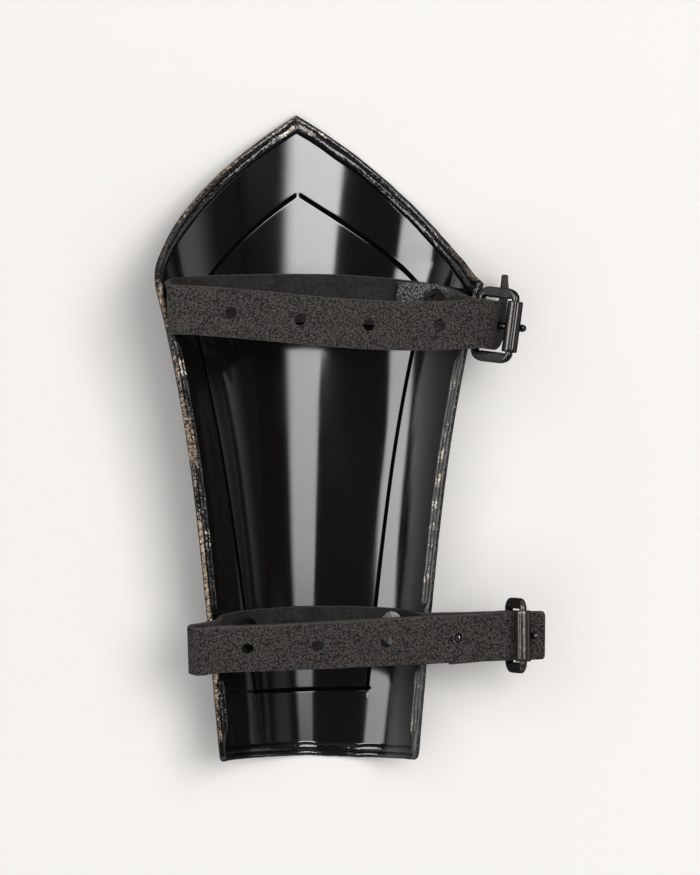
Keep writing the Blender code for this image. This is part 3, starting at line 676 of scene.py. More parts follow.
    def across(self, y: float, side: float, inset: float, share: float) -> float:
        """The wall fraction at a station: at an inset from a side, or across the crown between both."""
        steps = np.linspace(-1.0, 1.0, self.SECTION_STEPS)
        x, z = self._raw(steps, np.full_like(steps, y))
        lengths = np.concatenate([[0.0], np.cumsum(np.hypot(np.diff(x), np.diff(z)))])
        left, right = np.interp([inset, lengths[-1] - inset], lengths, steps)
        if side == 0:
            return float(left + (right - left) * (share + 1.0) / 2.0)
        return float(left if side < 0 else right)

    def columns(self) -> list[tuple[int, float, float]]:
        """Columns across the sheet: side, distance from that side's edge, share of the crown."""
        hem = [row[0] * MM for row in self.HEM_PROFILE]
        first = self.panel_side + self.CREASE_STEPS[0] * MM
        wall = np.linspace(hem[-1], first, self.WALL_COLUMNS + 1)[1:-1]
        insets = [*hem, *map(float, wall)]
        insets += [self.panel_side + step * MM for step in self.CREASE_STEPS]
        shares = sorted([*np.linspace(-1.0, 1.0, self.CROWN_COLUMNS + 1)[1:-1],
                         *(side * share for side in (-1, 1) for share in (0.007, 0.014, 0.024))])
        crown = [(0, insets[-1], float(share)) for share in shares]
        left = [(-1, inset, -1.0) for inset in insets]
        return left + crown + [(1, inset, 1.0) for inset in reversed(insets)]

    def rows(self) -> list[tuple[str, float]]:
        """Rows along the sheet: the end that they follow and the distance from it, or a share."""
        hem = [row[0] * MM for row in self.HEM_PROFILE]
        ends = []
        for reach, scale in ((self.panel_end, 1.0), (self.panel_point, self.slant)):
            creases = [reach + step * MM / scale for step in self.CREASE_STEPS]
            rim = [value / scale for value in hem]
            between = np.linspace(rim[-1], creases[0], self.END_ROWS + 1)[1:-1]
            ends.append(rim + [float(value) for value in between] + creases)
        shares = np.linspace(0.0, 1.0, self.LENGTH_ROWS + 1)[1:-1]
        middle = [("middle", float(share)) for share in shares]
        elbow = [("elbow", value) for value in reversed(ends[1])]
        return [("wrist", value) for value in ends[0]] + middle + elbow

    @staticmethod
    def _follow(inset: float) -> float:
        """How much of the hem's waviness the sheet takes up at a distance from its edge."""
        return float(np.interp(inset / MM, [0.0, 2.0, 5.0, 11.0], [0.45, 0.75, 1.0, 0.0]))

    def _wave(self, run: float, seed: float) -> float:
        """Hand-hammered waviness in metres at a distance along an edge in metres."""
        return sum(high * ripple(run / (gap * MM), seed + more) for high, gap, more in self.WAVES) * MM

    def _hem_heights(self, inset: float, lump: float) -> tuple[float, float]:
        """Heights of the inner and outer faces at a distance from the edge."""
        table = np.array(self.HEM_PROFILE)
        inner = float(np.interp(inset / MM, table[:, 0], table[:, 1])) * MM
        outer = float(np.interp(inset / MM, table[:, 0], table[:, 2])) * MM
        extra = max(0.0, inner - self.thick)
        return inner + extra * lump, outer

    def _crease(self, spot: Spot) -> float:
        """Depth of the panel's creases at a corner of the sheet."""

        def groove(miss: float) -> float:
            """A rounded groove's share of its depth, at a distance from its middle."""
            return bell(miss, self.crease_half)

        def fade(past: float) -> float:
            """1 inside the panel, and 0 from a little way outside it."""
            return clamp(1.0 + past / self.FADE_PAST_CREASE)

        slanting = (spot.point - self.panel_point) * self.slant
        depth, beside, tip = 0.0, 1.0, 1.0
        if spot.side:
            depth = groove(spot.inset - self.panel_side) * fade(spot.wrist - self.panel_end) * fade(slanting)
            beside = fade(spot.inset - self.panel_side)
        else:
            tip = clamp((abs(spot.share) - self.TIP_GAP) / self.TIP_GAP)
        depth = max(depth, groove(spot.wrist - self.panel_end) * beside)
        return max(depth, groove(slanting) * beside * tip) * self.crease_depth

    def build(self, materials: Sequence[Material]) -> Thing:
        """Builds the plate as one closed shell with its wear and painted-light values on the corners."""
        columns, rows = self.columns(), self.rows()
        places = [self.across(self.corner_y, *column) for column in columns]
        shape = (len(rows), len(columns))
        fractions, ys, spots = np.zeros(shape), np.zeros(shape), {}
        for i, row in enumerate(rows):
            for j, (column, place) in enumerate(zip(columns, places)):
                fractions[i, j], ys[i, j], spots[i, j] = self._corner(row, column, place)
        base, normal = self.outer(fractions, ys), self.inward(fractions, ys)
        inner, outer = np.zeros_like(base), np.zeros_like(base)
        # The wear values carry the brown rim, the bare specks with their painted glints, the hem, and the
        # right wall's painted sheen.
        wear, creases = np.zeros((2, *shape, 4)), np.zeros(shape)
        for (i, j), spot in spots.items():
            x, y = base[i, j, :2]
            lump = sum(high * ripple(x / (gap * MM), y / (gap * MM)) for high, gap in self.LUMPS)
            lump *= min(1.0, 0.3 + max(0.0, spot.wrist / MM - 6.0) / 6.0)
            high, low = self._hem_heights(spot.rim, lump)
            high -= (high - self.thick) * self._mitre(x, spot.elbow)
            crease = self._crease(spot)
            worked = 0.05 * MM * ripple(x / (26 * MM), y / (34 * MM), 5.0)
            inner[i, j] = base[i, j] + normal[i, j] * (high - crease + worked)
            outer[i, j] = base[i, j] + normal[i, j] * (low - crease)
            rolled = self._rolled(spot, y)
            edge, number = (0, j) if spot.side < 0 else (shape[1] - 1, shape[1] - 1 - j)
            if rolled > 0.0 and number < len(self.ROLLED_PROFILE):
                into = unit(base[i, j] - base[i, edge]) if number else normal[i, j] * 0.0
                near, height = self.ROLLED_PROFILE[number]
                near += 0.45 * ripple(y / (5 * MM), number * 0.35) * min(1.0, number / 3)
                height += 0.6 * lump * min(1.0, number / 3)
                place = base[i, edge] + (into * near + normal[i, edge] * height) * MM
                inner[i, j] += (place - inner[i, j]) * rolled
            creases[i, j] = crease / self.crease_depth
            wear[:, i, j, :3] = self._wear_and_glints(spot, x, y, rolled)
            # Painted sheen: the lighter grey band on the right wall's inner face.
            if spot.side > 0:
                wear[1, i, j, 3] = self._wall_sheen(spot.inset, y)
        outer[..., 2] = np.maximum(outer[..., 2], 0.0)
        thing = self._shell(outer, inner, wear, creases)
        add_materials(thing.data, materials)
        return thing

    def _corner(self, row: tuple[str, float], column: tuple[int, float, float],
                place: float) -> tuple[float, float, Spot]:
        """Places one corner of the sheet.

        Args:
            row: the end that it follows and the distance from it, or "middle" and the share between them.
            column: its side, the distance from that side's edge and the share of the crown.
            place: the column's wall fraction at the elbow's corners.

        Returns:
            Its wall fraction, its station along Y and its distances.
        """
        (kind, value), (side, inset, share) = row, column
        top, shift = self.gable(place), self.crease_shift(place)
        y = self._station(kind, value, top, shift)
        wrist, elbow = y - self.wrist_y, top - y
        if kind == "wrist":
            dip = self.wrist_dip * max(0.0, place) ** 0.7
            y -= dip * clamp((self.panel_end - 3 * MM - value) / (14 * MM))
        spread, lift, reach = self._rounded(side, inset, wrist)
        spread += self._wave(y, 3.0 + side) * self._follow(inset) if side else 0.0
        run = side * (60 * MM + (36 * MM - inset)) if side else share * 60 * MM
        if kind == "wrist":
            lift += self._wave(run, 11.0) * self._follow(wrist)
        if kind == "elbow":
            lift -= self._wave(run, 17.0) * self._follow(elbow * self.slant)
        spot = Spot(side, inset, share, wrist, elbow, elbow - shift, min(reach, elbow * self.slant))
        return self.across(y + lift, side, spread, share), y + lift, spot

    @staticmethod
    def _wall_sheen(inset: float, y: float) -> float:
        """How much painted sheen, a lighter grey, the right wall takes near its edge, 0..1."""
        reach = float(np.interp(y / MM, [-45.0, 15.0], [23.5, 30.5]))
        fade = clamp((40.0 - y / MM) / 10.0)
        return fade * clamp((reach - inset / MM) / 3.0)

    def _rolled(self, spot: Spot, y: float) -> float:
        """How thick a side hem is rolled, 0..1: not at the ends, and not under the belts."""
        if not spot.side:
            return 0.0
        share = clamp((min(spot.wrist, spot.elbow) - 6 * MM) / (7 * MM))
        for middle, half in self.CROSSINGS[spot.side]:
            share = min(share, max(0.0, (abs(y / MM - middle) - half) / 2.2))
        return share * share * (3.0 - 2.0 * share)

    def _mitre(self, x: float, elbow: float) -> float:
        """The open joint of the two folded edges at the point of the elbow end, 0..1."""
        if elbow * self.slant > self.MITRE_REACH:
            return 0.0
        off = (x - CENTRE_X) / MM + 0.35 * ripple(elbow / (2 * MM), 4.0) + 0.12 * elbow / MM
        return 0.9 * bell(off, self.MITRE_HALF)

    def _station(self, kind: str, value: float, top: float, shift: float) -> float:
        """Where a row stands along Y in a column whose elbow edge is at top, the crease being shifted."""
        if kind == "wrist":
            return self.wrist_y + value
        if kind == "elbow":
            start = self.HEM_PROFILE[-1][0] * MM / self.slant
            reach = self.panel_point + self.CREASE_STEPS[0] * MM / self.slant
            return top - value - shift * clamp((value - start) / (reach - start))
        low = self.wrist_y + self.panel_end + self.CREASE_STEPS[-1] * MM
        high = top - shift - self.panel_point - self.CREASE_STEPS[-1] * MM / self.slant
        return low + (high - low) * value

    def _rounded(self, side: int, inset: float, wrist: float) -> Triple:
        """Rounds the wrist corners off: the new side inset, the shift along Y, the rim distance."""
        size = self.corner_round
        if side == 0 or inset >= size or wrist >= size:
            return inset, 0.0, min(inset, wrist)
        u, v = size - inset, size - wrist
        round_u = u * math.sqrt(1.0 - v * v / (2 * size * size))
        round_v = v * math.sqrt(1.0 - u * u / (2 * size * size))
        return size - round_u, v - round_v, size - math.hypot(round_u, round_v)

    def _wear_and_glints(self, spot: Spot, x: float, y: float, rolled: float) -> list[Triple]:
        """Brown rim, bright specks of bare metal and painted glints, and hammered hem, each 0..1.

        Args:
            spot: the corner's distances.
            x: the place along X in metres.
            y: the place along Y in metres.
            rolled: how thick the side hem is rolled here.

        Returns:
            The three values for the outer face, and those for the inner face.
        """
        near, side = spot.rim / MM, spot.side
        left = side < 0 or (side == 0 and spot.share < 0)
        at_wrist = y < self.wrist_y + 8 * MM
        past = (y - self.corner_y) / MM
        broad = clamp(0.5 + 1.5 * ripple(x / (13 * MM), y / (13 * MM), 9.0))
        broken = clamp(0.35 + 1.7 * ripple(x / (5 * MM), y / (5 * MM), 3.0))
        much, band = (1.0 if left else 0.25), 0.42
        if at_wrist:
            much = 0.15
        elif past > 0.0:
            much, band = (1.0, 0.95) if left else (max(0.2, min(0.7, 1.5 - past / 20.0)), 1.5)
        tan = bell(near, band) * much * (0.35 + 0.75 * broad)
        if side < 0:
            tan = max(tan, 0.75 * bell(y / MM, 14.0, 4) * clamp((3.4 - near) / 1.2))
        drift = 2.1 + 0.8 * ripple(x / (7 * MM), y / (7 * MM), 6.0)
        ridge = bell(near - drift, 0.45) * (0.75 if left and not at_wrist else 0.4)
        lip = bell(near - 4.75, 0.25) * 0.25
        if rolled > 0.5:
            ridge = max(bell(near - 2.0, 0.5), bell(near - 4.2, 0.4))
            # Painted glints: on the left the bright specks thicken in two bands along the rolled hem.
            light = bell(y / MM + 29.0, 12.0, 4) + bell(y / MM - 27.0, 6.0, 4)
            ridge *= 0.5 + 0.6 * light if left else 0.9
        # Painted highlight: a bright glint at the left elbow corner.
        painted_glint = math.exp(-((past / 2.6) ** 2) - (near / 1.6) ** 2) if side < 0 else 0.0
        # Painted highlights beside the open joint: a bright patch on the left, a wavy bright line on the
        # right.
        off = (x - CENTRE_X) / MM
        if past > 0.0 and 0.8 < abs(off) < 17.0:
            wavy, reach, thin = (2.0 + 0.9 * math.sin(off / 1.9), 15.0, 0.5) if off > 0 else (3.2, 7.5, 0.9)
            painted_glint = bell(near - wavy, thin) * clamp((reach - abs(off)) / 3.0)
        bare_and_glint = min(1.0, max(max(ridge, lip) * broken, painted_glint * 1.2))
        hem = clamp((5.3 - near) / 0.6) * (0.3 if at_wrist else 1.0)
        return [(tan, 0.3 * tan * broken, hem), (min(1.0, tan), bare_and_glint, hem)]

    def _shell(self, outer: Point, inner: Point, wear: Point, creases: Point) -> Thing:
        """Joins the two faces of the sheet round their rim."""
        tall, wide = outer.shape[:2]
        lift = tall * wide
        points = np.concatenate([outer.reshape(-1, 3), inner.reshape(-1, 3)])
        faces = []
        for i in range(tall - 1):
            for j in range(wide - 1):
                a = i * wide + j
                quad = (a, a + 1, a + wide + 1, a + wide)
                faces.append(quad)
                faces.append(tuple(lift + k for k in reversed(quad)))
        rim = list(range(wide)) + [i * wide + wide - 1 for i in range(1, tall)]
        rim += [(tall - 1) * wide + j for j in range(wide - 2, -1, -1)]
        rim += [i * wide for i in range(tall - 2, 0, -1)]
        for a, b in zip(rim, rim[1:] + rim[:1]):
            faces.append((b, a, lift + a, lift + b))
        # The two faces share their rim corners.
        for a in rim:
            points[lift + a] = points[a] = (points[a] + points[lift + a]) / 2
        thing = build_mesh("bracer_plate", points, faces, sharp=75.0)
        shape = bmesh.new()
        shape.from_mesh(thing.data)
        shape.faces.ensure_lookup_table()
        # Painted shade: the deepest faces of each crease on the inner face take the black crease material.
        deep = creases > 0.02
        deep = deep[1:, 1:] & deep[:-1, 1:] & deep[1:, :-1] & deep[:-1, :-1]
        for number in np.flatnonzero(deep):
            shape.faces[2 * int(number) + 1].material_index = 1
        layers = [shape.verts.layers.float.new(name) for name in ("tan", "bare_and_glint", "hem", "wall_sheen")]
        flat = wear.reshape(-1, 4)
        for vert in shape.verts:
            for layer, value in zip(layers, flat[vert.index]):
                vert[layer] = float(value)
        bmesh.ops.remove_doubles(shape, verts=shape.verts, dist=1e-7)
        shape.to_mesh(thing.data)
        shape.free()
        return thing


# ---------------------------------------------------------------- buckles


@dataclass
class Buckle:
    """A roller buckle: its place, how far it rises from hinge to roller, and its turn."""

    prefix: str
    x: float
    y: float
    z: float
    rise: float
    yaw: float
    hinge_radius: float = 1.6 * MM
    frame_reach: float = 16.0 * MM
    inside: float = 20.8 * MM
    arm_width: float = 4.2 * MM
    arm_thick: float = 2.8 * MM
    bar_radius: float = 1.45 * MM
    roller_radius: float = 3.0 * MM
    roller_bore: float = 1.8 * MM
    roller_length: float = 19.8 * MM
    prong_radius: float = 1.45 * MM
    prong_gap: float = 0.3 * MM
    prong_past_roller: float = 3.0 * MM
    prong_wrap: float = math.radians(262.0)

    def __post_init__(self) -> None:
        """Works out the buckle's own directions."""
        rise, yaw = math.radians(self.rise), math.radians(self.yaw)
        self.hinge = np.array([self.x * MM + CENTRE_X, self.y * MM, self.z * MM])
        self.bar = np.array([math.sin(yaw), math.cos(yaw), 0.0])
        flat = np.array([math.cos(yaw), -math.sin(yaw), 0.0])
        self.reach = flat * math.cos(rise) + np.array([0.0, 0.0, math.sin(rise)])
        self.back = -np.cross(self.reach, self.bar)
        if self.back[2] < 0:
            self.back = -self.back

    def at(self, reach: float, back: float = 0.0, bar: float = 0.0) -> Point:
        """A point in the buckle's own directions."""
        return self.hinge + self.reach * reach + self.back * back + self.bar * bar

    def spoke(self, angle: float) -> Point:
        """The direction square to the bars at an angle round them."""
        return self.reach * math.cos(angle) + self.back * math.sin(angle)

    def prong_line(self) -> tuple[Point, Point]:
        """Where the prong's straight part starts and ends."""
        at_hinge = -(self.hinge_radius + self.prong_gap + self.prong_radius)
        at_roller = -(self.roller_radius + self.prong_gap + self.prong_radius)
        slope = (at_roller - at_hinge) / self.frame_reach
        tip = self.frame_reach + self.prong_past_roller
        return self.at(0.0, at_hinge), self.at(tip, at_hinge + slope * tip)

    def build_frame(self) -> Thing:
        """The cast loop: round bars at both ends and flat arms between them."""
        arm = (self.inside + self.arm_width) / 2
        corner_bar, corner_reach, steps = 2.2 * MM, 3.6 * MM, 12
        stations = []
        for end, side in ((0, -1), (0, 1), (1, 1), (1, -1)):
            middle_reach = corner_reach if end == 0 else self.frame_reach - corner_reach
            outwards = -1 if end == 0 else 1
            for k in range(steps + 1):
                share = k / steps if (end == 0) == (side > 0) else 1.0 - k / steps
                angle = share * math.pi / 2
                reach = middle_reach + outwards * corner_reach * math.cos(angle)
                bar = side * (arm - corner_bar) + side * corner_bar * math.sin(angle)
                plane = self.reach * outwards * math.cos(angle) + self.bar * side * math.sin(angle)
                thin = self.hinge_radius if end == 0 else self.bar_radius
                half_plane = thin + (self.arm_width / 2 - thin) * share
                half_back = thin + (self.arm_thick / 2 - thin) * share
                square = 0.85 * share
                stations.append((self.at(reach, 0.0, bar), plane, self.back, half_plane, half_back, square))
        return sweep(self.prefix + "_loop", stations, closed=True, sides=24, lump=0.03 * MM)

    def build_roller(self) -> Thing:
        """A rolled tube with eased ends and the seam where its sheet meets."""
        half, easing, sides, seam_side = self.roller_length / 2, 0.35 * MM, 48, 5
        outline = [(self.roller_bore, -half), (self.roller_radius - easing, -half),
                   (self.roller_radius - 0.1 * MM, -half + 0.12 * MM), (self.roller_radius, -half + easing)]
        outline += [(self.roller_radius, shift * MM) for shift in np.linspace(-8.5, 8.5, 13)]
        outline += [(radius, -shift) for radius, shift in reversed(outline[:4])]
        points = []
        for radius, shift in outline:
            for k in range(sides):
                angle = 2 * math.pi * k / sides
                seam = 0.35 * MM * bell((k - seam_side) % sides, 0.8) if radius > self.roller_bore else 0
                dent = 0.03 * MM * ripple(shift / (3 * MM), math.cos(angle) * 2, math.sin(angle) * 2)
                middle = self.at(self.frame_reach, 0.0, shift)
                points.append(middle + self.spoke(angle) * (radius - seam + dent))
        faces = ring_faces(len(outline), sides, closed=True)
        return build_mesh(self.prefix + "_roller_tube", points, faces, sharp=50.0)

    def build_prong(self) -> Thing:
        """A wire wrapped round the hinge bar, then straight past the roller to a rounded tip."""
        radius = self.hinge_radius + self.prong_gap + self.prong_radius
        stations, steps = [], 30
        for k in range(steps, 0, -1):
            spoke = self.spoke(-math.pi / 2 - self.prong_wrap * k / steps)
            stations.append((self.hinge + spoke * radius, spoke, self.bar, self.prong_radius,
                             self.prong_radius, 0.0))
        start, end = self.prong_line()
        forward = unit(end - start)
        down = unit(np.cross(forward, self.bar))
        if down @ stations[-1][1] < 0:
            down = -down
        length = float(np.linalg.norm(end - start))
        tip = self.prong_radius
        shares = [s * (length - tip) / length for s in np.linspace(0.0, 1.0, 14)]
        sizes = [1.0] * len(shares)
        for angle in (25, 45, 62, 76, 85):
            shares.append((length - tip + tip * math.sin(math.radians(angle))) / length)
            sizes.append(math.cos(math.radians(angle)))
        for share, size in zip(shares, sizes):
            stations.append((start + (end - start) * share, down, self.bar, self.prong_radius * size,
                             self.prong_radius * size, 0.0))
        return sweep(self.prefix + "_tongue", stations, closed=False, sides=20, lump=0.03 * MM)

    def dress(self, metal: Material) -> None:
        """Builds and finishes the loop, the roller and the prong."""
        for thing, node in ((self.build_frame(), "_frame"), (self.build_roller(), "_roller"),
                            (self.build_prong(), "_prong")):
            dress(thing, [metal], [self.prefix + node])


def sweep(name: str, stations: Sequence[tuple], closed: bool, sides: int, lump: float) -> Thing:
    """A bar through stations.

    Args:
        name: the piece's name.
        stations: middle, two cross directions, two half sizes and how square the section is.
        closed: whether the last station joins the first.
        sides: corners in one section.
        lump: depth of the cast unevenness in metres.

    Returns:
        The new object.
    """
    points = []
    for middle, first, second, half_first, half_second, square in stations:
        for k in range(sides):
            angle = 2 * math.pi * (k + 0.5) / sides
            c, s = math.cos(angle), math.sin(angle)
            power = 1.0 - square * 0.6
            c = math.copysign(abs(c) ** power, c)
            s = math.copysign(abs(s) ** power, s)
            place = middle + first * c * half_first + second * s * half_second
            uneven = lump * ripple(*(place / (2.2 * MM)))
            points.append(place + unit(first * c + second * s) * uneven)
    return build_mesh(name, points, ring_faces(len(stations), sides, closed), sharp=60.0)


# ---------------------------------------------------------------- belts


def width_line(tilt: float, yaw: float) -> Point:
    """A belt's width direction, from degrees out of level and degrees towards +X."""
    lean, turn = math.radians(tilt), math.radians(yaw)
    return np.array([math.sin(turn), math.cos(turn) * math.cos(lean), math.cos(turn) * math.sin(lean)])


def free_stop(x: float, y: float, z: float, tilt: float = 0.0, yaw: float = 0.0) -> Stop:
    """A belt stop in the open, in millimetres from the crown line, with its width turned."""
    return np.array([x * MM + CENTRE_X, y * MM, z * MM]), width_line(tilt, yaw)


def bend_stops(x: float, y: float, z: float, radius: float, first: float, last: float,
               tilts: tuple[float, float], yaws: tuple[float, float]) -> list[Stop]:
    """Belt stops round a bend's centre, with the angle, tilt and yaw going from one to the other."""
    centre = free_stop(x, y, z)[0]
    steps = max(2, round(abs(last - first) / 28))
    stops = []
    for share in np.linspace(0.0, 1.0, steps + 1):
        width = width_line(*(pair[0] + (pair[1] - pair[0]) * share for pair in (tilts, yaws)))
        angle = math.radians(first + (last - first) * share)
        outwards = unit(np.cross(width, np.array([0.0, 0.0, 1.0])))
        spoke = outwards * math.cos(angle) + np.cross(outwards, width) * math.sin(angle)
        stops.append((centre + spoke * radius * MM, width))
    return stops


def smooth_run(stops: Sequence[Stop], per_span: int = 24) -> Point:
    """A centripetal curve through the stops, for their middles and widths together."""
    values = np.array([np.concatenate(stop) for stop in stops])
    values = np.vstack([2 * values[0] - values[1], values, 2 * values[-1] - values[-2]])

    def blend(first: Point, second: Point, start: float, end: float, at: float) -> Point:
        """The value at a place between two knots."""
        return first + (second - first) * (at - start) / (end - start)

    run = []
    for i in range(1, len(values) - 2):
        a, b, c, d = values[i - 1:i + 3]
        k = [0.0]
        for low, high in ((a, b), (b, c), (c, d)):
            k.append(k[-1] + max(np.linalg.norm((high - low)[:3]), 1e-6) ** 0.5)
        for t in np.linspace(k[1], k[2], per_span, endpoint=False):
            ab, bc = blend(a, b, k[0], k[1], t), blend(b, c, k[1], k[2], t)
            cd = blend(c, d, k[2], k[3], t)
            low, high = blend(ab, bc, k[0], k[2], t), blend(bc, cd, k[1], k[3], t)
            run.append(blend(low, high, k[1], k[2], t))
    run.append(values[-2])
    return np.array(run)


@dataclass
class Belt:
    """A leather belt along a run of stops, from its folded flap to its free tail."""

    name: str
    node: str
    stops: list[Stop]
    buckle: Buckle
    punches: int
    crinkled: tuple[float, float]
    width: float = 19.0 * MM
    thick: float = 2.5 * MM
    pitch: float = 27.1 * MM
    punch_shift: float = 0.0
    punch_radius: float = 2.4 * MM
    station_gap: float = 0.6 * MM
    tail_round: float = 1.0 * MM
    easing: float = 0.32 * MM
    crease_fade: float = 9.0 * MM
    slot_play: float = 1.2 * MM
    loop_play: float = 0.5 * MM
    prong_play: float = 0.45 * MM
    punch_reach: float = 1.8 * MM
    FACE_STEPS = 24

    def __post_init__(self) -> None:
        """Lays the run and its frames."""
        self.run = self._untangle(self._spaced(smooth_run(self.stops)))
        gaps = np.linalg.norm(np.diff(self.run[:, :3], axis=0), axis=1)
        self.lengths = np.concatenate([[0.0], np.cumsum(gaps)])

    def _spaced(self, dense: Point) -> Point:
        """The dense run at even distances."""
        gaps = np.linalg.norm(np.diff(dense[:, :3], axis=0), axis=1)
        lengths = np.concatenate([[0.0], np.cumsum(gaps)])
        places = np.linspace(0.0, lengths[-1], int(lengths[-1] / self.station_gap) + 1)
        return np.stack([np.interp(places, lengths, dense[:, k]) for k in range(6)], axis=1)

    @staticmethod
    def _frames(run: Point) -> list[tuple[Point, Point, Point, Point]]:
        """Middle, forward, width and face directions at each stop of a run."""
        frames = []
        for i in range(len(run)):
            forward = unit(run[min(i + 1, len(run) - 1), :3] - run[max(i - 1, 0), :3])
            width = run[i, 3:]
            width = unit(width - forward * float(width @ forward))
            frames.append((run[i, :3], forward, width, np.cross(width, forward)))
        return frames

    def _untangle(self, run: Point, least: float = 0.08 * MM) -> Point:
        """Leaves out the stops at which a corner of the section would step backwards."""
        for _ in range(4):
            corners = []
            for middle, _, width, face in self._frames(run):
                corners.append([middle + width * a * self.width / 2 + face * b * self.thick / 2
                                for a, b in ((-1, -1), (1, -1), (1, 1), (-1, 1))])
            kept = [0]
            for i in range(1, len(run)):
                forward = unit(run[i, :3] - run[kept[-1], :3])
                steps = [float((new - old) @ forward) for new, old in zip(corners[i], corners[kept[-1]])]
                if min(steps) > least:
                    kept.append(i)
            run = run[kept]
        return run

    def _section(self, half: float) -> list[tuple[float, float, BeltFace]]:
        """One section: distance across, share of the thickness, and the face that starts there."""
        ease_t = 1.0 - self.easing / (self.thick / 2)
        flat = half - self.easing
        across = np.linspace(-flat, flat, self.FACE_STEPS + 1)
        ring = [(float(w), -1.0, BeltFace.GRAIN) for w in across]
        ring += [(half, -ease_t, BeltFace.CUT), (half, ease_t, BeltFace.CUT)]
        ring += [(float(w), 1.0, BeltFace.FLESH) for w in reversed(across)]
        return ring + [(-half, ease_t, BeltFace.CUT), (-half, -ease_t, BeltFace.CUT)]

    def _half_width(self, at: float) -> float:
        """Half the width at a distance along the belt, with its uneven edges and its rounded tail."""
        half = self.width / 2 + 0.09 * MM * ripple(at / (6 * MM), 2.0)
        miss = self.tail_round - (self.lengths[-1] - at)
        if miss > 0.0:
            half -= self.tail_round - math.sqrt(max(self.tail_round**2 - miss**2, 0.0))
        return half

    def build(self, materials: Sequence[Material]) -> Thing:
        """Builds the belt's skin, with its finish by face and its crinkles."""
        points, kinds, creased = [], [], []
        start, end = self.crinkled
        for at, (middle, _, width, face) in zip(self.lengths, self._frames(self.run)):
            crinkle = clamp((at - start) / self.crease_fade) * clamp((end - at) / self.crease_fade)
            ring = self._section(self._half_width(at))
            for across, level, _ in ring:
                uneven = 0.06 * MM * ripple(at / (7 * MM), across / (7 * MM), level * 3)
                points.append(middle + width * across + face * (level * self.thick / 2 + uneven * abs(level)))
                creased.append(crinkle)
        for (_, level, kind), (_, after, _) in zip(ring, ring[1:] + ring[:1]):
            kinds.append(kind if level == after or abs(level) < 1 else BeltFace.CUT)
        kinds = kinds * (len(self.run) - 1) + [BeltFace.CUT, BeltFace.CUT]
        faces = ring_faces(len(self.run), len(ring), closed=False)
        thing = build_mesh(self.name, points, faces, sharp=50.0)
        add_materials(thing.data, materials)
        for polygon, kind in zip(thing.data.polygons, kinds):
            polygon.material_index = kind.value
        layer = thing.data.attributes.new("crinkle", "FLOAT", "POINT")
        layer.data.foreach_set("value", creased)
        return thing

    @staticmethod
    def crumple(thing: Thing, depth: float = 0.28 * MM) -> None:
        """Wrinkles the creased stretch of a finished belt."""
        mesh = thing.data
        for vertex, mark in zip(mesh.vertices, mesh.attributes["crinkle"].data):
            if mark.value > 0.0:
                place = vertex.co / (1.7 * MM)
                vertex.co += vertex.normal * (mark.value * depth * ripple(*place))

    def _prong_crossing(self, reach: float = 40.0 * MM) -> float:
        """How far back from the free end the buckle's prong goes through."""
        start, end = self.buckle.prong_line()
        along = unit(end - start)
        best = (math.inf, 0.0)
        for stop, back in zip(self.run, self.lengths[-1] - self.lengths):
            if back <= reach:
                offset = stop[:3] - start
                miss = np.linalg.norm(offset - along * float(offset @ along))
                best = min(best, (miss, back))
        return float(best[1])

    def cutters(self, thing: Thing) -> list[Thing]:
        """Everything punched out of the belt apart from its rivet holes."""
        buckle = self.buckle
        slot = 2 * buckle.prong_radius + self.slot_play
        loop = buckle.hinge_radius + buckle.prong_gap + 2 * buckle.prong_radius + self.loop_play
        shapes = [rod("slot", buckle.at(0, 0, -slot / 2), buckle.at(0, 0, slot / 2), loop, thing)]
        start, end = buckle.prong_line()
        shapes.append(rod("way", start, end, buckle.prong_radius + self.prong_play, thing))
        first = self._prong_crossing() % self.pitch - self.punch_shift
        frames = self._frames(self.run)
        for number in range(self.punches):
            at = self.lengths[-1] - first - number * self.pitch
            i = int(np.searchsorted(self.lengths, at)) - 1
            middle, _, _, face = frames[i]
            ends = (middle - face * self.punch_reach, middle + face * self.punch_reach)
            shapes.append(rod("punch", *ends, self.punch_radius, thing))
        return shapes


# ---------------------------------------------------------------- rivets


@dataclass
class Rivet:
    """A rivet turned about its own axis, from (radius, height) steps in metres."""

    name: str
    node: str
    base: Point
    axis: Point
    outline: list[tuple[float, float]]
    hole: tuple[float, float]
    HOLE_RADIUS = 2.2 * MM

    def build(self, sides: int = 48) -> Thing:
        """Turns the outline round the axis, with slight hammering."""
        along = Vector(self.axis).normalized()
        turn = along.to_track_quat("Z", "Y").to_matrix()
        points, rings = [], []
        for radius, height in self.outline:
            if radius < 1e-7:
                rings.append([len(points)])
                points.append(Vector(self.base) + along * height)
                continue
            rings.append(list(range(len(points), len(points) + sides)))
            for k in range(sides):
                angle = 2 * math.pi * k / sides
                spoke = turn @ Vector((math.cos(angle), math.sin(angle), 0.0))
                place = (radius * math.cos(angle), radius * math.sin(angle), height)
                dent = 0.05 * MM * ripple(*(value / (1.6 * MM) for value in place))
                points.append(Vector(self.base) + along * (height + dent) + spoke * (radius + dent * 0.6))
        faces = []
        for low, high in zip(rings, rings[1:]):
            for k in range(sides):
                n = (k + 1) % sides
                corners = [low[k % len(low)], low[n % len(low)], high[n % len(high)], high[k % len(high)]]
                faces.append(tuple(dict.fromkeys(corners)))
        return build_mesh(self.name, points, faces, sharp=48.0)

    def cutter(self, like: Thing | None = None) -> Thing:
        """The hole that the rivet needs."""
        low, high = (self.base + self.axis * end for end in self.hole)
        return rod("rivet_hole", low, high, self.HOLE_RADIUS, like)


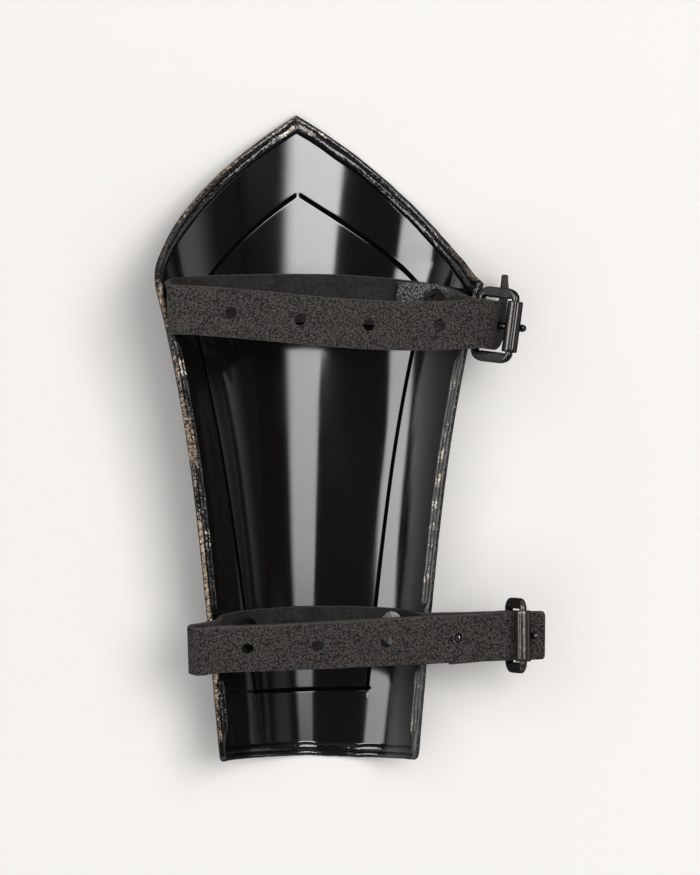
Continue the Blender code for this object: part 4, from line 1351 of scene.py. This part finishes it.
@dataclass
class RivetSizes:
    """Sizes shared by the rivets through the plate."""

    shank: float = 1.8
    gap: float = 0.35
    washer_radius: float = 6.6
    washer_thick: float = 0.8
    cap_radius: float = 3.8
    cap_height: float = 1.0
    dome_radius: float = 3.4
    dome_height: float = 1.6

    def outline(self, reach: float, lift: float) -> list[tuple[float, float]]:
        """Outside dome, shank, and the washer and cap inside, from a reach and lift in millimetres."""
        steps = [(0.0, -self.gap - self.dome_height)]
        for angle in (12, 25, 38, 50, 62, 74, 84, 90):
            turn = math.radians(angle)
            steps.append((self.dome_radius * math.sin(turn), -self.gap - self.dome_height * math.cos(turn)))
        base = reach + self.gap + lift
        top = base + self.washer_thick
        steps += [(self.shank, -self.gap), (self.shank, base)]
        steps += [(self.washer_radius - 0.3, base), (self.washer_radius - 0.05, base + 0.12)]
        steps += [(self.washer_radius, base + 0.35), (self.washer_radius - 0.1, top - 0.2)]
        steps += [(self.washer_radius - 0.45, top), (self.cap_radius + 1.4, top - 0.06)]
        steps += [(self.cap_radius + 0.15, top - 0.1), (self.cap_radius, top + 0.05)]
        for angle in (18, 35, 52, 68, 80):
            turn = math.radians(angle)
            steps.append((self.cap_radius * math.cos(turn) ** 0.7, top + self.cap_height * math.sin(turn)))
        steps.append((0.0, top + self.cap_height))
        return [(radius * MM, height * MM) for radius, height in steps]


# ---------------------------------------------------------------- the bracer


@dataclass
class Bracer:
    """The whole bracer: the sheet, two belts, their rivets and their buckles."""

    sheet: Sheet = field(default_factory=Sheet)
    belt_clear: float = 0.6 * MM
    hem_rise: float = 1.4 * MM
    layer_gap: float = 0.35 * MM
    hinge_play: float = 0.45 * MM

    # Inside run of each belt: wall fraction, middle in mm along Y, share of the hem's rise.
    UPPER_INSIDE = (
        (0.96, 42.6, 1.2), (0.90, 43.9, 1.1), (0.82, 45.5, 0.3), (0.70, 47.8, 0.0), (0.50, 50.4, 0.0),
        (0.30, 52.6, 0.0), (0.10, 54.0, 0.0), (-0.10, 54.4, 0.0), (-0.30, 54.3, 0.0), (-0.50, 53.7, 0.0),
        (-0.66, 52.9, 0.0), (-0.75, 52.3, 0.5), (-0.83, 51.7, 1.2), (-0.90, 51.0, 1.3), (-0.965, 50.3, 1.3),
    )
    LOWER_INSIDE = (
        (0.95, -79.7, 1.2), (0.87, -79.3, 1.1), (0.76, -78.8, 0.2), (0.60, -78.2, 0.0), (0.40, -77.6, 0.0),
        (0.20, -77.1, 0.0), (0.0, -76.9, 0.0), (-0.20, -77.0, 0.0), (-0.40, -77.4, 0.0),
        (-0.60, -78.0, 0.0), (-0.76, -78.6, 0.2), (-0.87, -79.1, 1.0), (-0.95, -79.6, 1.1),
    )
    UPPER_FLAP = ((0.47, 49.6, 0.0), (0.60, 48.6, 0.0), (0.70, 47.8, 0.0), (0.82, 45.5, 0.3),
                  (0.90, 43.9, 1.1), (0.96, 42.6, 1.2))
    # Bends: centre's x, y and z, radius, first and last angle, then tilts and yaws at both ends.
    UPPER_FLAP_BEND = (65.9, 42.7, 36.1, 5.8, 152, 128, (0, 0), (13, 11))
    UPPER_RIM_BEND = (65.9, 42.7, 36.1, 2.8, 87, 152, (0, 0), (11, 13))
    UPPER_LEFT_BENDS = (
        (-51.0, 50.1, 58.9, 2.9, 0, 48, (8, 7), (-10, -7)),
        (-47.3, 49.6, 63.7, 3.1, 218, 84, (6, 3), (-6, 3)),
    )
    LOWER_RIM_BEND = (44.9, -79.6, 32.7, 2.8, 82, 158, (2, 2), (5, 7))
    LOWER_LEFT_BENDS = (
        (-35.5, -80.0, 42.7, 2.8, 0, 88, (5, 5), (-4, -3)),
        (-42.1, -81.9, 48.4, 2.9, 270, 92, (6, 15), (-1, 0)),
    )
    # Free stretches: x, y and z in mm from the crown line, and the tilt and yaw of the width.
    UPPER_FRONT = (
        (-38.0, 48.8, 66.5, 3, 4), (-15.0, 46.4, 63.6, 3, 5), (10.0, 43.5, 59.4, 3, 5),
        (35.0, 41.5, 54.7, 3, 5), (55.0, 41.1, 51.1, 2, 6), (64.0, 41.4, 49.3, 0, 8),
        (69.4, 41.6, 48.5, 0, 9), (73.4, 41.2, 46.9, 0, 9), (75.9, 40.9, 42.9, 4, 9),
        (77.3, 41.5, 39.0, 12, 8), (78.4, 42.8, 34.0, 18, 8), (79.1, 44.7, 29.0, 23, 7),
        (79.5, 47.3, 23.0, 25, 7), (79.7, 50.7, 16.0, 27, 6), (79.8, 53.2, 11.2, 28, 6),
    )
    LOWER_FLAP_END = ((54.5, -80.9, 38.1, 2, 0), (60.0, -80.6, 37.1, 2, 0), (68.0, -80.1, 35.8, 1, 0),
                      (74.0, -79.9, 35.7, 0, 1))
    LOWER_UNDER = ((74.0, -79.8, 29.9, 0, 1), (68.0, -79.8, 31.4, 0, 1), (60.0, -79.8, 33.3, 1, 2),
                   (52.0, -79.7, 34.7, 2, 4))
    LOWER_FRONT = (
        (-34.0, -81.9, 51.6, 20, 0), (-18.0, -81.8, 50.8, 20, 0), (4.0, -81.4, 48.9, 18, 0),
        (28.0, -80.8, 46.4, 15, 0), (46.0, -80.4, 44.3, 13, 0), (58.7, -80.1, 43.0, 11, 0),
        (70.0, -79.9, 41.6, 8, 0), (79.0, -79.8, 40.4, 6, 1), (86.0, -79.8, 39.6, 9, 1),
        (92.3, -79.8, 39.0, 15, 1),
    )

    def __post_init__(self) -> None:
        """Places the two buckles."""
        self.upper_buckle = Buckle("buckle_upper", 69.4, 42.0, 41.8, rise=36.0, yaw=8.8)
        self.lower_buckle = Buckle("buckle_lower", 78.7, -79.6, 32.5, rise=72.0, yaw=1.0)
        self.fold_radius = (Buckle.hinge_radius + self.hinge_play + Belt.thick / 2) / MM

    def _inside_stops(self, table: Sequence[tuple], layer: int = 0) -> list[Stop]:
        """Belt stops on the inside of the sheet, above a number of belts already there."""
        stops = []
        for fraction, middle, over_hem in table:
            lift = self.sheet.thick + self.belt_clear + over_hem * self.hem_rise + Belt.thick / 2
            lift += layer * (Belt.thick + self.layer_gap)
            ends = []
            for y in (middle * MM - Belt.width / 2, middle * MM + Belt.width / 2):
                ends.append(self.sheet.outer(fraction, y) + self.sheet.inward(fraction, y) * lift)
            stops.append(((ends[0] + ends[1]) / 2, unit(ends[1] - ends[0])))
        return stops

    def _hinge_bend(self, buckle: Buckle, first: float, swing: float = 0.0) -> list[Stop]:
        """Belt stops round a buckle's hinge bar, from over it to under it."""
        place = (buckle.x, buckle.y, buckle.z, self.fold_radius)
        over = bend_stops(*place, first, 0, (0, 0), (buckle.yaw, buckle.yaw))
        return over + bend_stops(*place, 0, -90, (0, 0), (buckle.yaw, buckle.yaw + swing))[1:]

    def upper_belt(self) -> Belt:
        """The belt near the elbow, whose folded end lies inside the plate."""
        stops = self._inside_stops(self.UPPER_FLAP, layer=1) + bend_stops(*self.UPPER_FLAP_BEND)
        stops += self._hinge_bend(self.upper_buckle, 118, swing=2.0)
        stops += bend_stops(*self.UPPER_RIM_BEND) + self._inside_stops(self.UPPER_INSIDE)
        for bend in self.UPPER_LEFT_BENDS:
            stops += bend_stops(*bend)
        stops += [free_stop(*row) for row in self.UPPER_FRONT]
        return Belt("upper_belt", "upper_strap", stops, self.upper_buckle, 7, (-5 * MM, 34 * MM),
                    punch_shift=1.3 * MM)

    def lower_belt(self) -> Belt:
        """The belt near the wrist, whose folded end is riveted outside the plate."""
        stops = [free_stop(*row) for row in self.LOWER_FLAP_END] + self._hinge_bend(self.lower_buckle, 90)
        stops += [free_stop(*row) for row in self.LOWER_UNDER] + bend_stops(*self.LOWER_RIM_BEND)
        stops += self._inside_stops(self.LOWER_INSIDE)
        for bend in self.LOWER_LEFT_BENDS:
            stops += bend_stops(*bend)
        stops += [free_stop(*row) for row in self.LOWER_FRONT]
        return Belt("lower_belt", "lower_strap", stops, self.lower_buckle, 6, (-9 * MM, -5 * MM))

    def plate_rivet(self, belt: str, side: str, fraction: float, y: float, lift: float,
                    layers: int) -> Rivet:
        """A rivet through the plate and one or two layers of belt, in millimetres."""
        base = self.sheet.outer(fraction, y * MM)
        axis = self.sheet.inward(fraction, y * MM)
        reach = self.sheet.thick + self.belt_clear + layers * Belt.thick + (layers - 1) * self.layer_gap
        reach /= MM
        outline = RivetSizes().outline(reach, lift)
        hole = (-2 * MM, (reach + 2) * MM)
        return Rivet(f"{belt}_{side}_rivet", f"rivet_{belt}_{side}", base, axis, outline, hole)

    def fold_rivet(self) -> Rivet:
        """The rivet that closes the lower belt's fold, with a dome on the open side."""
        base = free_stop(58.7, -79.9, 33.6)[0]
        axis = unit(np.array([0.18, 0.0, 0.984]))
        half, layers_apart = Belt.thick / 2 / MM, 3.85
        under, over = -half - 0.55, layers_apart + half + self.layer_gap / MM
        steps = [(0.0, under - 1.2), (2.6, under - 1.2), (3.4, under - 0.95), (4.0, under - 0.1)]
        steps += [(3.9, under), (1.8, under), (1.8, over), (3.1, over), (3.2, over + 0.2)]
        steps += [(2.9, over + 0.7), (2.3, over + 1.1), (1.5, over + 1.38), (0.7, over + 1.49)]
        steps.append((0.0, over + 1.5))
        outline = [(radius * MM, height * MM) for radius, height in steps]
        hole = ((under - 1) * MM, (over + 1) * MM)
        return Rivet("fold_rivet", "rivet_lower_fold", base, axis, outline, hole)

    def assemble(self) -> None:
        """Builds and finishes every piece."""
        lacquer = Lacquer().make()
        leather = [Grain().make(), Flesh().make(), CutLeather().make()]
        metal = Gunmetal().make()
        # The lower buckle takes a lighter, browner gunmetal with more pale patches than the upper one.
        rubbed = Gunmetal("lighter_gunmetal", (0.085, 0.076, 0.067), (0.21, 0.185, 0.155), 0.27, 0.6).make()
        dull = Gunmetal("dull_rivet", dark=(0.022, 0.020, 0.019), rough=0.26, wear=0.1).make()
        bright = PaintedLitWasher().make()
        # Painted light: the fold rivet's polished dome is given a much lighter steel than the dark rivets,
        # standing in for the highlight it catches.
        polished_and_lit = Gunmetal("polished_lit_dome", (0.34, 0.33, 0.32), (0.50, 0.48, 0.46), 0.13).make()
        plate = self.sheet.build([lacquer, CreaseShadow().make()])
        belts = {"upper": self.upper_belt(), "lower": self.lower_belt()}
        skins = {key: belt.build(leather) for key, belt in belts.items()}
        rivets = [
            (self.plate_rivet("upper", "left", -0.67, 52.9, 1.55, 1), "upper", dull),
            (self.plate_rivet("upper", "right", 0.77, 47.9, 2.1, 2), "upper", dull),
            (self.plate_rivet("lower", "left", -0.53, -77.8, 1.1, 1), "lower", dull),
            # The lower right rivet takes the pale washer steel, a painted lit copy of the dark rivet metal.
            (self.plate_rivet("lower", "right", 0.67, -76.7, 1.35, 1), "lower", bright),
        ]
        apply_cuts(plate, [rivet.cutter() for rivet, _, _ in rivets])
        dress(plate, [lacquer], ["plate"])
        fold = self.fold_rivet()
        for key, belt in belts.items():
            skin = skins[key]
            holes = [rivet.cutter(skin) for rivet, which, _ in rivets if which == key]
            if key == "lower":
                holes.append(fold.cutter(skin))
            apply_cuts(skin, belt.cutters(skin) + holes)
            belt.crumple(skin)
            dress(skin, leather, [belt.node])
            LOG.info("%s runs %.0f mm", belt.name, belt.lengths[-1] / MM)
        for rivet, _, finish in rivets + [(fold, "lower", polished_and_lit)]:
            dress(rivet.build(), [finish], [rivet.node])
        self.upper_buckle.dress(metal)
        self.lower_buckle.dress(rubbed)


# ---------------------------------------------------------------- the studio


@dataclass
class Panel:
    """A glowing card for the gloss: stations along Y with first and last angle and brightness."""

    name: str
    distance: float
    strength: float
    stations: tuple[tuple[float, float, float, float], ...]
    feathers: tuple[float, float] = (0.03, 0.35)

    def build(self) -> None:
        """Builds the panel as a glowing strip that fades towards its edges."""
        points, faces, glow = [], [], []
        steps = 24
        for y, first, last, bright in self.stations:
            for k in range(steps + 1):
                share = k / steps
                angle = math.radians(first + (last - first) * share)
                points.append((self.distance * math.sin(angle), y, self.distance * math.cos(angle)))
                soft = min(1.0, share / self.feathers[0], (1.0 - share) / self.feathers[1])
                glow.append(bright * soft * soft * (3.0 - 2.0 * soft))
        for i in range(len(self.stations) - 1):
            a, b = i * (steps + 1), (i + 1) * (steps + 1)
            faces += [(a + k, a + k + 1, b + k + 1, b + k) for k in range(steps)]
        mesh = bpy.data.meshes.new(self.name)
        mesh.from_pydata(points, [], faces)
        layer = mesh.attributes.new("glow", "FLOAT", "POINT")
        layer.data.foreach_set("value", glow)
        thing = link_object(self.name, mesh)
        thing.visible_camera = thing.visible_diffuse = thing.visible_shadow = False
        material = bpy.data.materials.new(self.name)
        material.use_nodes = True
        tree = material.node_tree
        tree.nodes.clear()
        glowing = add_node(tree, "ShaderNodeAttribute", attribute_name="glow").outputs["Fac"]
        power = add_node(tree, "ShaderNodeMath", {0: glowing, 1: self.strength}, operation="MULTIPLY")
        emission = add_node(tree, "ShaderNodeEmission", {"Strength": power.outputs[0]})
        add_node(tree, "ShaderNodeOutputMaterial", {"Surface": emission.outputs[0]})
        mesh.materials.append(material)


@dataclass
class Studio:
    """Floor, lights and the camera."""

    lens: float = 242.6
    sensor: float = 36.0
    height: float = 2.330
    over: tuple[float, float] = (0.0, -0.00129)
    lean: float = math.radians(-1.35)
    # Where the world's brightness starts and stops changing, as the height of the ray, and to what.
    sky: tuple[float, ...] = (0.12, 0.50, 0.85, 0.04)
    ground: tuple[float, ...] = (-0.45, 0.0, 0.06, 1.0)

    def build(self) -> None:
        """Builds the studio in order."""
        self._floor()
        self._world()
        self._lights()
        self._camera()

    def _floor(self) -> None:
        """A wide pale floor just under the bracer."""
        half, z = 6.0, -0.00005
        mesh = bpy.data.meshes.new("floor")
        corners = [(-half, -half, z), (half, -half, z), (half, half, z), (-half, half, z)]
        mesh.from_pydata(corners, [], [(0, 1, 2, 3)])
        floor = link_object("floor", mesh)
        mesh.materials.append(Floor().make())
        floor.visible_glossy = False

    def _world(self) -> None:
        """A pale horizon under a dark ceiling, and dark below, where only the gloss sees it."""
        world = bpy.data.worlds.new("studio")
        bpy.context.scene.world = world
        world.use_nodes = True
        tree = world.node_tree
        seen = add_node(tree, "ShaderNodeTexCoord").outputs["Generated"]
        up = add_node(tree, "ShaderNodeSeparateXYZ", {0: seen}).outputs["Z"]
        above, below = smooth_step(tree, up, *self.sky), smooth_step(tree, up, *self.ground)
        power = add_node(tree, "ShaderNodeMath", {0: above, 1: below}, operation="MULTIPLY")
        background = tree.nodes["Background"]
        feed(tree, background.inputs["Strength"], power.outputs[0])
        feed(tree, background.inputs["Color"], (1.0, 0.99, 0.98, 1.0))

    def _lights(self) -> None:
        """Cards that the gloss reflects, and a soft key and a wide fill that it does not."""
        Panel("key_card", 1.3, 10.0, (
            (-0.30, 8.7, 28.0, 0.13), (-0.185, 8.6, 28.0, 0.16), (-0.165, 8.8, 29.0, 0.26),
            (-0.115, 8.0, 31.0, 0.34), (-0.09, 7.0, 31.5, 0.52), (-0.03, 7.3, 30.0, 0.62),
            (0.01, 8.6, 29.0, 0.66), (0.07, 7.4, 29.0, 0.94), (0.13, 6.8, 29.0, 1.06),
            (0.40, 6.8, 29.0, 1.06), (0.95, 6.8, 29.0, 0.8),
        ), feathers=(0.03, 0.24)).build()
        Panel("side_card", 1.0, 9.0, (
            (-0.20, -60.0, -33.6, 0.40), (-0.08, -60.0, -33.6, 0.48), (-0.02, -66.0, -29.2, 0.62),
            (0.02, -63.0, -25.5, 0.66), (0.07, -58.5, -23.6, 0.72), (0.13, -57.5, -23.7, 0.80),
            (0.18, -55.5, -24.5, 0.88), (0.22, -58.0, -27.5, 1.0), (0.31, -59.0, -27.5, 1.0),
            (0.60, -59.0, -27.5, 0.8),
        ), feathers=(0.16, 0.10)).build()
        Panel("dim_card", 1.3, 0.30, (
            (-0.30, 31.0, 62.0, 1.2), (-0.14, 31.0, 62.0, 1.0), (-0.10, 36.0, 58.0, 0.0),
            (0.08, 27.0, 46.0, 0.0), (0.12, 27.0, 46.0, 1.0), (0.40, 27.0, 46.0, 1.2),
        ), feathers=(0.35, 0.45)).build()
        self._lamp("key_lamp", (1.30, 0.50, 3.60), 1.7, 74.0)
        self._lamp("fill_lamp", (0.0, 0.0, 4.0), 6.0, 168.0)

    @staticmethod
    def _lamp(name: str, place: Triple, size: float, power: float) -> None:
        """Adds a square area lamp that faces the bracer and stays out of its gloss.

        Args:
            name: its name.
            place: its middle, in metres.
            size: its side, in metres.
            power: its power in watts.
        """
        lamp = bpy.data.lights.new(name, "AREA")
        lamp.shape = "SQUARE"
        lamp.size = size
        lamp.energy = power
        thing = bpy.data.objects.new(name, lamp)
        thing.location = place
        thing.rotation_euler = (-Vector(place)).to_track_quat("-Z", "Y").to_euler()
        thing.visible_glossy = False
        thing.visible_camera = False
        bpy.context.scene.collection.objects.link(thing)

    def _camera(self) -> None:
        """A long lens straight above, leaning a little."""
        data = bpy.data.cameras.new("camera")
        data.sensor_fit = "VERTICAL"
        data.sensor_height = self.sensor
        data.sensor_width = self.sensor
        data.lens = self.lens
        camera = bpy.data.objects.new("camera", data)
        camera.location = (self.over[0], self.over[1], self.height)
        camera.rotation_euler = (0.0, 0.0, self.lean)
        bpy.context.scene.collection.objects.link(camera)
        bpy.context.scene.camera = camera


def main() -> None:
    """Builds the bracer and its studio."""
    logging.basicConfig(level=logging.INFO, format="%(name)s: %(message)s")
    scene = bpy.context.scene
    scene.view_settings.view_transform = "Standard"
    Bracer().assemble()
    Studio().build()


if __name__ == "__main__":
    main()
